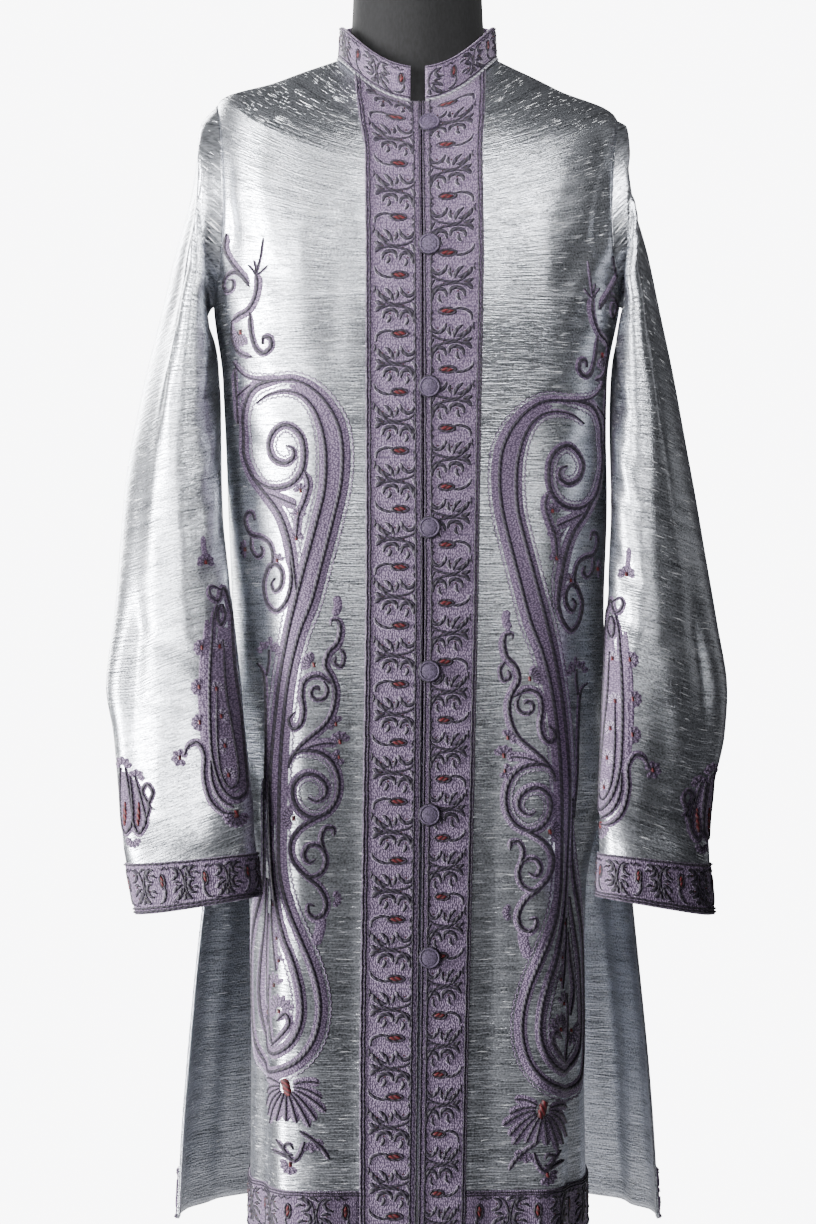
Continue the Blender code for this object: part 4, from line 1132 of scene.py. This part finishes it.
def sleeve_paisley(pen):
    """The tall paisley near the sleeve's inner edge."""
    rim = [
        (219, 590), (210, 586), (207, 592), (211, 599), (217, 600), (221, 588), (227, 597),
        (231, 612), (232, 640), (235, 672), (242, 711), (246, 749), (249, 776), (248, 790),
        (236, 797), (223, 786), (214, 758), (211, 724), (210, 680), (211, 640), (212, 618),
        (216, 602),
    ]
    axis = [(223, 628), (223, 660), (226, 700), (230, 740), (235, 770), (236, 788)]
    pen.field(axis, (6, 11, 15, 17, 15, 9))
    pen.field([(206, 620), (205, 660), (205, 700), (206, 745)], (2, 6, 7, 4))
    pen.vine(rim, 5.0, 5.0, 2.8)
    inner = [
        (222, 640), (226, 690), (233, 730), (239, 765), (238, 782), (230, 786), (222, 770),
        (218, 735), (217, 690),
    ]
    pen.vine(inner, 5.0, 5.0, 2.0)
    pen.vine([(228, 650), (229, 690), (236, 730), (243, 770)], 6.0, 6.0, 0)
    pen.vine([(219, 604), (216, 615), (219, 626), (224, 616), (221, 604)], 3.0, 3.0, 2.0)
    # Florets past x 213, towards the sleeve's inner edge, take the pale thread and the others the
    # lilac: partly the pattern's own pale florets, partly painted light that lifts the shade on
    # that side of the sleeve.
    for x, y, first, last in (
        (204, 562, 170, 370), (222, 716, 190, 400), (226, 745, 100, 330), (230, 774, 160, 380),
        (219, 647, 180, 360), (217, 689, 180, 360), (202, 648, 90, 280), (200, 687, 90, 280),
        (201, 722, 90, 280), (181, 757, 60, 330),
    ):
        pen.petals((x, y), 9, first, last, 6, 3.4, 2.2, "light" if x > 213 else "fill")
    pen.vine([(201, 535), (202, 548), (205, 562)], 2.5, 2.5, 0)
    pen.vine([(205, 640), (206, 680), (206, 720), (207, 745)], 3.5, 3.5, 0)
    hook = [
        (186, 754), (190, 745), (199, 742), (206, 754), (206, 776), (212, 798), (224, 810),
        (236, 811),
    ]
    pen.vine(hook, 4.0, 3.5, 2.6)
    pen.vine([(212, 760), (214, 780), (222, 797), (236, 806)], 3.0, 3.0, 2.2)
    pen.petals((238, 812), 14, 20, 160, 7, 4.4, 3.4)


def short_paisley(pen):
    """The short pair of paisleys at the sleeve's outer edge."""
    for x0, lean, top in ((126, -6, 768), (140, -10, 776)):
        rim = [
            (x0 + lean, top), (x0 - 7, top + 30), (x0 - 6, 822), (x0, 833), (x0 + 7, 822),
            (x0 + 5, top + 34), (x0 + lean + 5, top),
        ]
        pen.field([(x0 + lean + 3, top + 4), (x0, 800), (x0, 830)], (3, 9, 6))
        pen.vine(rim, 3.4, 3.4, 2.4)
        swell = 0.0022 * np.array([0.5, 1, 1, 0.8, 0.3])
        pen.seed([(x0 - 1 + 0.1 * k, 826 - 6 * k) for k in range(5)], swell, 0.0018, 5)
    stem = [(146, 822), (150, 806), (143, 792), (148, 784), (154, 792), (150, 804), (155, 809)]
    pen.vine(stem, 2.8, 2.8, 2.4)
    pen.petals((121, 768), 11, 200, 340, 5, 3.6, 0)
    pen.petals((136, 778), 9, 220, 360, 4, 3.4, 0)
    pen.petals((134, 838), 9, 20, 160, 6, 3.2, 0)


# The coat, sewn and draped
SLIT_ROW = int(np.searchsorted(ROWS, SLIT))
SLIT_HEM_ROWS = int(np.searchsorted(ROWS, 3.3))
HEM_ROWS = np.append(np.arange(9), HEM_BAND / ROW_STEP)
HEM_CORDS = (0.0205, 0.0182, -0.0205)
FRONT_CORDS = (-0.0221, -0.0196, 0.0175, 0.0222)
CUFF_CORDS = (0.0202, -0.0196, -0.0168)
COLLAR_CORDS = (0.0143, -0.0118)
BAND_DRAWN, COLLAR_DRAWN = 0.0465, 0.031  # the widths over which the pattern is drawn
# How far the waist stands out at each side, the height of its fullest place and its reach, in m
WAIST = {"left": (0.0100, 1.075, 0.17), "right": (0.0085, 1.045, 0.14)}
body_places, fronts, sleeves = {}, {}, {}


def free_cloth(shape, both=False):
    """1 where the cloth is free to crease, falling to 0 at seams and at the stiff band."""
    rows, columns = shape
    mask = np.ones(shape)
    end = np.clip((columns - 1 - np.arange(columns)) / 4, 0, 1)
    mask[SLIT_ROW:] *= end
    if both:
        mask[SLIT_ROW:] *= end[::-1]
    else:
        mask *= np.clip((np.arange(columns) - BAND_COLUMNS) / 3, 0.1, 1)
    return mask * np.clip((rows - 1 - np.arange(rows)) / 5, 0, 1)[:, None]


def worn(grid, creases, free, unevenness, seed, sides):
    """A panel with its creases and ripples. Its waist stands out under each arm, where the
    sleeve lies against it. Gives the grid and its normals."""
    normals = outward(grid)
    across, height = grid[..., 0] * 1000, grid[..., 2] * 1000
    depth = sum(
        crease(across - x0, height - z0, x1 - x0, z1 - z0, width, deep, bend=0.06, most=6)
        for x0, z0, x1, z1, width, deep in creases
    )
    grid = grid - (depth * free)[..., None] / 1000 * normals
    grid = ripple(grid, normals, unevenness, seed, free)
    for side in sides:
        out, middle, reach = WAIST[side]
        across = SIDES[side] * grid[..., 0]
        share = np.clip(across / across.max(axis=1, keepdims=True), 0, 1) ** 4
        grid[..., 0] += SIDES[side] * out * hump(grid[..., 2] - middle, reach) * share
    return grid, outward(grid)


def band_cloth(name, grid, normals, closed=False):
    """A band's own cloth on top of the grid. Gives the piece and its outer side."""
    outer = grid + (GAP + BAND_WALL) * normals
    replaced = name.replace("_cloth", "")
    return shell(name, outer, normals, BAND_WALL, lilac, "embroidery", closed, [replaced]), outer


def between_rows(grid, at):
    """The grid's row at a place that may lie between two rows."""
    i = min(int(at), len(grid) - 2)
    return grid[i] * (1 - at + i) + grid[i + 1] * (at - i)


def hem_border(name, grid, normals, first, shift):
    """The border along a panel's hem, from column first on."""
    strip, normals = (
        np.array([between_rows(table, at)[first:] for at in HEM_ROWS]) for table in (grid, normals)
    )
    piece, strip = band_cloth(f"hem_band_cloth_{name}", strip, normals)
    along = arc(strip, 1)[4]
    across = (HEM_ROWS / HEM_ROWS[-1] - 0.5) * HEM_BAND
    place = drawn(strip, normals, along, across[:, None], np.arange(len(along)), step=0.002)
    length = float(along[-1])
    threads = embroider(
        f"hem_{name}", place, length, HEM_CORDS, 0.0015, shift=shift, squeeze=0.92
    )
    declare(piece, strip, with_pieces=finish_threads(threads))


for side in ("left", "right"):
    wearer = WEARER[side]
    grid = np.array([coat_row("front", side, at, front_turns(side, at)) for at in ROWS])
    free = free_cloth(grid.shape[:2])
    grid, normals = worn(grid, CREASES["front", side], free, 0.0007, 1.3 + SIDES[side], [side])
    front = shell(
        f"front_cloth_{wearer}", grid, normals, WALL, silk, "silk", replaces=[f"front_{wearer}"]
    )
    fronts[side] = front, grid
    columns = np.arange(grid.shape[1])
    seen = seen_across(grid, columns, 0)
    body_places["front", side] = drawn(grid, normals, seen, grid[..., 2], columns)

    # The embroidered band beside the opening
    top = BAND_COLUMNS + 1
    band_normals = normals[:, :top]
    piece, band = band_cloth(f"front_band_cloth_{wearer}", grid[:, :top], band_normals)
    across = np.linspace(0.5, -0.5, top) * BAND_DRAWN
    run = arc(band, 0)[:, top // 2]
    length = float(run[-1])
    place = drawn(band, band_normals, across, (length - run)[:, None], np.arange(top), step=0.002)
    shift = 0.030 if side == "left" else 0.014
    threads = embroider(
        f"front_band_{wearer}", place, length, FRONT_CORDS, 0.0015, upright=True, shift=shift
    )
    declare(piece, band, with_pieces=finish_threads(threads))
    hem_border(f"front_{wearer}", grid, normals, first=BAND_COLUMNS, shift=0.012)

# The back, with its border and the turned edges of its slits
rows = []
for at in ROWS:
    left, right = (coat_row("back", side, at, back_turns(side, at)) for side in SIDES)
    rows.append(np.concatenate([left[::-1], right[1:]]))
grid = np.array(rows)
free = free_cloth(grid.shape[:2], both=True)
grid, normals = worn(grid, CREASES["back", "both"], free, 0.0009, 4.1, SIDES)
back = shell("back_cloth", grid, normals, WALL, silk, "silk", replaces=["back"])
hem_border("back", grid, normals, first=0, shift=0.010)
declare(back, grid)
for side, columns in (("left", slice(0, 3)), ("right", slice(-3, None))):
    edge_normals = normals[:SLIT_HEM_ROWS, columns]
    edge = grid[:SLIT_HEM_ROWS, columns] - (WALL + 0.0002) * edge_normals
    name = f"slit_hem_back_{WEARER[side]}"
    turned = shell(name, edge, edge_normals, 0.0009, silk_reverse, "silk")
    declare(turned, edge)


# The sleeves
def armhole_loop(side):
    """The armhole's edge from its lowest point up the front and down the back, and the way out
    of the armhole at each point."""
    levels = armhole_levels()
    loop = [("front", at) for at in levels[::-1]] + [("back", at) for at in levels[1:-1]]
    pairs = np.array([
        coat_row(face, side, at, [edge_turn(at), edge_turn(at) - 0.02]) for face, at in loop
    ])
    edge, away = pairs[:, 0], pairs[:, 0] - pairs[:, 1]
    along = np.roll(edge, -1, axis=0) - np.roll(edge, 1, axis=0)
    away[0], away[LOOP] = (SIDES[side] * 0.75, 0, -0.65), (0, 0, 1)
    away -= along * ((away * along).sum(axis=1) / (along * along).sum(axis=1))[:, None]
    return edge, away / np.linalg.norm(away, axis=1)[:, None]


def sleeve_rings(side):
    """The sleeve's rings of points: the armhole's own, then those of the table."""
    edge, away = armhole_loop(side)
    rings = [edge + GAP * away]
    angle = np.pi * np.arange(2 * LOOP) / LOOP
    up, forward = power(np.cos(angle), 2 / RING_SQUARE), power(np.sin(angle), 2 / RING_SQUARE)
    for z_outer, z_inner, *reaches, y_middle, half_depth in RINGS:
        outer, inner = reaches[:2] if side == "left" else reaches[2:]
        top = np.array([SIDES[side] * outer, y_middle, z_outer])
        bottom = np.array([SIDES[side] * inner, y_middle, z_inner])
        ring = (top + bottom) / 2 + (top - bottom) / 2 * up[:, None]
        ring[:, 1] -= half_depth * forward
        rings.append(ring)
    return np.array(rings)


# An empty sleeve hangs askew, so its weft runs down towards the outer edge, by this slope.
WEFT_LEAN = 0.28
# It hangs flat too, so below its head the front and the corners turn in or out: angle, half
# width and depth. This starts at ring FLAT_FROM and is full after FLAT_OVER more.
FLAT_TURNS = ((46, 66, 0.013), (130, 50, -0.013), (-150, 40, 0.0039))
FLAT_FROM, FLAT_OVER = 1.5, 3
# Its inner side swells towards the body beside the waist.
INNER_SWELL = {"left": 0.013, "right": 0.010}
SWELL_ANGLE, SWELL_WIDTH, SWELL_RING, SWELL_REACH = -165, 60, 5.2, 3.1
RING_DEGREES = 50  # what one ring counts for, next to the angles of a crease
CUFF_ROWS = 11
cuff_start = len(RINGS) - CUFF_BAND / (RINGS[-2][0] - RINGS[-1][0])
SLEEVE_ROWS = np.concatenate(
    [np.linspace(0, cuff_start, 131), np.linspace(cuff_start, len(RINGS), CUFF_ROWS)[1:]]
)
ANGLES = (np.arange(2 * LOOP) * 180 / LOOP + 180) % 360 - 180


def beside(angle):
    """How far each column of a sleeve lies from this angle, in degrees."""
    return (ANGLES[None, :] - angle + 180) % 360 - 180


for side in ("left", "right"):
    wearer = WEARER[side]
    rings = sleeve_rings(side)
    flat = rings.reshape(len(rings), -1)
    grid = np.array([smooth_rows(flat, at).reshape(-1, 3) for at in SLEEVE_ROWS])
    normals = outward(grid, closed=True)
    ring_at = SLEEVE_ROWS[:, None]
    depth = hump(beside(SWELL_ANGLE), SWELL_WIDTH) * hump(ring_at - SWELL_RING, SWELL_REACH)
    depth *= -INNER_SWELL[side]
    for angle, width, deep, first, deepest, last in TUCKS:
        span = np.where(ring_at < deepest, deepest - first, last - deepest)
        depth += deep * hump(ring_at - deepest, span) * hump(beside(angle), width)
    for angle, width, deep in FLAT_TURNS:
        flatness = np.clip((ring_at - FLAT_FROM) / FLAT_OVER, 0, 1)
        depth += deep * hump(beside(angle), width) * flatness
    for r0, a0, r1, a1, width, deep in SLEEVE_CREASES:
        px, dx = (ring_at - r0) * RING_DEGREES, (r1 - r0) * RING_DEGREES
        py = ANGLES[None, :] - a0
        depth += crease(px, py, dx, a1 - a0, width, deep / 1000, bend=-0.08)
    row = np.arange(len(grid))[:, None]
    free = np.clip(row / 5, 0, 1) * np.clip((len(grid) - CUFF_ROWS - row) / 8, 0.25, 1)
    grid = grid - (depth * free)[..., None] * normals
    grid = ripple(grid, normals, 0.0008, 2.2 + SIDES[side], free)
    normals = outward(grid, closed=True)
    sleeve = shell(
        f"sleeve_cloth_{wearer}", grid, normals, WALL, silk, "silk", closed=True,
        replaces=[f"sleeve_{wearer}"], lean=WEFT_LEAN,
    )
    sleeves[side] = sleeve, grid
    reach = LOOP // 3
    columns = np.arange(-reach, LOOP + reach + 1)
    seen = seen_across(grid, columns, LOOP // 2 + reach)
    height = grid[:, columns % (2 * LOOP), 2]
    body_places["sleeve", side] = drawn(grid, normals, seen, height, columns, closed=True)

    normals = normals[-CUFF_ROWS:]
    piece, cuff = band_cloth(f"cuff_band_cloth_{wearer}", grid[-CUFF_ROWS:], normals, closed=True)
    columns = np.arange(-2, 2 * LOOP + 3)
    along = arc(cuff[:, columns % (2 * LOOP)], 1)[CUFF_ROWS // 2]
    along = along - along[2]
    across = np.linspace(0.5, -0.5, CUFF_ROWS) * CUFF_BAND
    place = drawn(cuff, normals, along, across[:, None], columns, closed=True, step=0.002)
    threads = embroider(
        f"cuff_{wearer}", place, float(along[2 * LOOP + 2]), CUFF_CORDS, 0.0024,
        shift=0.006, squeeze=0.9, repeat=CUFF_REPEAT,
    )
    rests = [f"sleeve_cloth_{wearer}"]
    declare(piece, cuff, closed=True, with_pieces=finish_threads(threads))


# The collar stands on the neckline from one front edge round to the other
COLLAR_ROWS = 9


def collar_grid():
    """The collar's rows of points, 34 of them in each quarter."""
    count = 34
    bottom, top = [], []
    parting = turn_of(NECK, COLLAR_PARTING)
    for side, face, turns in (
        ("left", "front", np.linspace(parting, 1, count)),
        ("left", "back", np.linspace(1, 0, count)[1:]),
        ("right", "back", np.linspace(0, 1, count)[1:]),
        ("right", "front", np.linspace(1, parting, count)[1:]),
    ):
        for turn in turns:
            foot = coat_row(face, side, NECK, [turn])[0]
            share = math.sin(math.radians(turn * 90)) ** 2
            end_height = COLLAR_FRONT if face == "front" else COLLAR_BACK
            height = end_height + (COLLAR_SIDE - end_height) * share
            inward = -np.array([foot[0], foot[1], 0]) / math.hypot(foot[0], foot[1])
            bottom.append(foot + inward * COLLAR_INSET + np.array([0, 0, 2 * GAP]))
            top.append(foot + inward * (COLLAR_INSET + COLLAR_LEAN) + np.array([0, 0, height]))
    bottom, top = np.array(bottom), np.array(top)
    return np.array([bottom + (top - bottom) * t for t in np.linspace(0, 1, COLLAR_ROWS)])


grid = collar_grid()
normals = outward(grid)
collar = shell("collar_cloth", grid, normals, COLLAR_WALL, lilac, "embroidery", replaces=["collar"])
along = arc(grid, 1)[COLLAR_ROWS // 2]
around = float(along[-1])
across = np.linspace(-0.5, 0.5, COLLAR_ROWS) * COLLAR_DRAWN
place = drawn(grid, normals, along, across[:, None], np.arange(len(along)), step=0.002)
threads = embroider("collar", place, around, COLLAR_CORDS, 0.0014, shift=0.008, squeeze=0.66)
rib = Needlework("collar_piping", piping, "silk")
t = np.linspace(0, around, 150)
rib.stroke(place, np.stack([t, np.full_like(t, -0.0146)], axis=1), 0.0014, 0.0014, 0.0022, 7)
stitches = [rib.finish()] + finish_threads(threads)
rests = ["front_cloth_right", "front_cloth_left", "back_cloth"]
declare(collar, grid, with_pieces=stitches)

# The large embroidery: each motif, with its shift on the right side in pixels
FRONT_MOTIFS = (
    (swan_neck, 4, 20), (loop_and_spiral, 16, 20), (upper_sprig, 14, 22), (lower_curls, 12, 20),
    (small_scrolls, 6, 14), (great_fan, -9, 23), (hem_sprig, 0, 12),
)
SLEEVE_MOTIFS = ((sleeve_paisley, -6, 12), (short_paisley, -2, 6))
for side in ("left", "right"):
    wearer = WEARER[side]
    rests = [f"front_cloth_{wearer}", "back_cloth"]
    for part, motifs, (piece, grid), held, rests_on in (
        ("front", FRONT_MOTIFS, fronts[side], "draped", ["form_body"]),
        ("sleeve", SLEEVE_MOTIFS, sleeves[side], "hung", rests),
    ):
        threads = threads_for(f"{part}_scrolls_{wearer}")
        for motif, dx, dy in motifs:
            motif(Pen(threads, body_places[part, side], side, dx, dy))
        stitches = finish_threads(threads)
        declare(piece, grid, closed=part == "sleeve", with_pieces=stitches)


# Covered buttons: a disc with a wound rim and a low crown, and a cord loop round its foot
def pick(piece, test):
    """Selects the faces whose middle passes the test, and nothing else."""
    for parts in (piece.data.vertices, piece.data.edges, piece.data.polygons):
        parts.foreach_set("select", [False] * len(parts))
    for face in piece.data.polygons:
        face.select = test(face.center)


bpy.ops.object.select_all(action="DESELECT")
bpy.ops.mesh.primitive_cylinder_add(vertices=48, radius=BUTTON_RADIUS, depth=BUTTON_THICK)
button = bpy.context.object
pick(button, lambda middle: middle.z > 0.4 * BUTTON_THICK)
bpy.ops.object.mode_set(mode="EDIT")
# The wound rim, the groove inside it and the crown: how far in and how far up each step goes
for inward, rise in ((0.0013, 0), (0.0004, -0.0009), (0.0005, 0.0007), (0.0030, 0.0004)):
    bpy.ops.mesh.inset(thickness=inward)
    bpy.ops.transform.translate(value=(0, 0, rise))
bpy.ops.mesh.poke()
bpy.ops.object.mode_set(mode="OBJECT")
rounding = button.modifiers.new("rounding", "BEVEL")
rounding.width, rounding.segments, rounding.limit_method = 0.0005, 3, "ANGLE"
bpy.ops.object.modifier_apply(modifier="rounding")
button.data.materials.append(thread_disc)
button.data.shade_smooth()
bpy.ops.object.select_all(action="DESELECT")
bpy.ops.mesh.primitive_torus_add(
    major_segments=48, minor_segments=10, major_radius=BUTTON_RADIUS + 0.0003, minor_radius=0.0009
)
loop = bpy.context.object
loop.data.uv_layers[0].name = "cloth"
for mark in loop.data.uv_layers[0].data:  # the loop's length and its cord's girth, in metres
    mark.uv = (mark.uv[0] * 0.057, mark.uv[1] * 0.0057)
loop.data.materials.append(violet)
loop.data.shade_smooth()
for number in range(1, 8):
    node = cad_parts[f"button_{number}"]
    corners = np.array([corner.co for corner in node.data.vertices])
    middle = corners.mean(axis=0)
    up = Vector(np.linalg.svd(corners - middle, full_matrices=False)[2][2])
    if up.y > 0:
        up = -up
    turned = up.to_track_quat("Z", "Y").to_matrix().to_4x4()
    for source, name, lift in ((button, "covered_button", 0.0), (loop, "button_loop", -0.0016)):
        piece = bpy.data.objects.new(f"{name}_{number}", source.data.copy())
        bpy.context.scene.collection.objects.link(piece)
        piece.data.transform(Matrix.Translation(Vector(middle) + up * lift) @ turned)
        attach(piece, "root")
        if source == button:
            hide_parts(f"button_{number}")
bpy.data.objects.remove(button)
bpy.data.objects.remove(loop)


# The dress form: the coat's own shape moved in by its ease, with a neck
# How far the form lies inside the coat at each of its levels
EASE = (0.02, 0.02, 0.02, 0.02, 0.018, 0.014, 0.012, 0.010, 0.010, 0.008, 0.003, 0.0, 0.0025)
NECK_RINGS = (
    (0.0620, -0.0600, 0.0545, 1.395, 1.436, 1.452),
    (0.0590, -0.0570, 0.0540, 1.430, 1.456, 1.464),
    (0.0575, -0.0560, 0.0535, 1.488, 1.488, 1.488),
)
TORSO_BOTTOM = 0.830
CLEAR, CLEAR_MIDDLE = 0.0008, 0.0025  # more room, all round and at the middle


def round_the_form(row_of):
    """A closed ring out of four quarters, from the front's middle round by the left."""
    turns = np.linspace(0, 1, 25)
    quarters = (
        ("front", "left", 1), ("back", "left", -1), ("back", "right", 1), ("front", "right", -1)
    )
    return np.concatenate([row_of(face, side, turns[::way][:-1]) for face, side, way in quarters])


def neck_row(ring):
    """One ring of the form's neck, from its half width, y in front and behind, and heights."""
    half, y_front, y_back, z_front, z_side, z_back = ring

    def row_of(face, side, turns):
        across, along = np.sin(turns * np.pi / 2), np.cos(turns * np.pi / 2)
        y, z = (y_front, z_front) if face == "front" else (y_back, z_back)
        z = z + (z_side - z) * across**2
        return np.stack([SIDES[side] * half * across, y * along, z], axis=-1)

    return round_the_form(row_of)


steps = np.linspace(HEM, NECK, 1201)
bottom = float(np.interp(TORSO_BOTTOM, [smooth_rows(LEVELS, at)[0] for at in steps], steps))
levels = [*np.linspace(bottom, ARMPIT, 70), *armhole_levels()[1:]]
levels += list(np.linspace(SHOULDER, NECK, 12)[1:])
grid = np.array([
    round_the_form(lambda face, side, turns: coat_row(face, side, at, turns)) for at in levels
])
normals = outward(grid, closed=True)
away = round_the_form(lambda face, side, turns: turns)
for i, at in enumerate(levels):
    ease = max(float(smooth_rows([[e] for e in EASE], at)[0]), 0.0) + CLEAR + WALL
    grid[i] -= (ease + CLEAR_MIDDLE * (1 - away) ** 2)[:, None] * normals[i]
grid[0, :, 2] = TORSO_BOTTOM
neck = np.array([grid[-1]] + [neck_row(ring) for ring in NECK_RINGS]).reshape(4, -1)
neck = np.array([smooth_rows(neck, at).reshape(-1, 3) for at in np.linspace(0, 3, 22)[1:]])
grid = np.concatenate([grid, neck])
columns = grid.shape[1]
first, last = grid[0].mean(axis=0), grid[-1].mean(axis=0)
lower = [first + (grid[0] - first) * share for share in (0.5, 0.9, 0.975)]
upper = [last + (grid[-1] - last) * share for share in (0.96, 0.5)]
grid[0, :, 2] += 0.004
grid = np.concatenate([lower, grid, upper])
verts = list(grid.reshape(-1, 3)) + [first, last]
faces = cells(len(grid), columns, closed=True).tolist()
top = (len(grid) - 1) * columns
for j in range(columns):
    k = (j + 1) % columns
    faces += [(len(verts) - 2, j, k), (len(verts) - 1, top + k, top + j)]
marks = [(verts[n][0] + verts[n][1], verts[n][2]) for face in faces for n in face]
form = new_piece("form_body", verts, faces, marks, jersey, "jersey", ["form_torso"])

for name, material in (("form_neck_cap", lacquer), ("stand_base", lacquer), ("stand_pole", steel)):
    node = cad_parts[name]
    for slot in node.material_slots:
        slot.material = material

# Floor, camera and light
bpy.ops.object.select_all(action="DESELECT")
bpy.ops.mesh.primitive_circle_add(
    vertices=128, radius=1.9, fill_type="NGON", location=(0, 0, -0.0005)
)
floor = bpy.context.object
floor.name = "paper_floor"
floor.data.materials.append(paper)

camera = bpy.data.objects.new("camera", bpy.data.cameras.new("camera"))
bpy.context.scene.collection.objects.link(camera)
camera.location = (-0.0086, -3.13, 0.931)
camera.rotation_euler = (math.pi / 2, 0, 0)
camera.data.sensor_fit = "VERTICAL"
SENSOR, DISTANCE, SHOWN = 24, 3.0, 1.0526  # the picture shows 1.0526 m at the coat's front
camera.data.sensor_height = SENSOR
camera.data.lens = SENSOR * DISTANCE / SHOWN
bpy.context.scene.camera = camera


def softbox(name, location, target, size, power_watts, spread=180):
    """A rectangular light that faces the target. A narrow spread is a grid on its front."""
    light = bpy.data.lights.new(name, "AREA")
    light.shape = "RECTANGLE"
    light.size, light.size_y = size
    light.energy = power_watts
    light.spread = math.radians(spread)
    lamp = bpy.data.objects.new(name, light)
    bpy.context.scene.collection.objects.link(lamp)
    lamp.location = location
    lamp.rotation_euler = (Vector(target) - Vector(location)).to_track_quat("-Z", "Y").to_euler()


softbox("key_light", (-2.2, -2.45, 1.6), (-0.05, 0, 1.0), (0.7, 2.0), 17, 70)
softbox("chest_light", (0.2, -1.6, 2.05), (0.04, -0.1, 1.5), (1.0, 0.4), 2.8, 40)
softbox("chest_side_light", (1.15, -1.5, 2.0), (0.12, -0.08, 1.46), (0.5, 0.4), 0.9, 40)
softbox("side_light", (-2.8, -0.7, 1.2), (-0.2, 0, 1.05), (0.8, 1.6), 48, 70)
softbox("rim_light", (2.2, 0.9, 1.5), (0, 0, 1.0), (0.25, 1.8), 1.5)
softbox("back_light", (-1.6, 2.6, 1.9), (0, 0, 1.0), (1.0, 2.0), 45, 100)

world = bpy.data.worlds.new("studio")
bpy.context.scene.world = world
world.use_nodes = True
tree = world.node_tree
tree.nodes.clear()
seen = add(tree, "ShaderNodeBackground", {"Color": linear("F9F9FC"), "Strength": 9.0})
room = add(tree, "ShaderNodeBackground", {"Color": linear("C9CCD4"), "Strength": 0.05})
rays = add(tree, "ShaderNodeLightPath")
both = add(tree, "ShaderNodeMixShader", {0: rays, 1: room, 2: seen})
add(tree, "ShaderNodeOutputWorld", {"Surface": both})
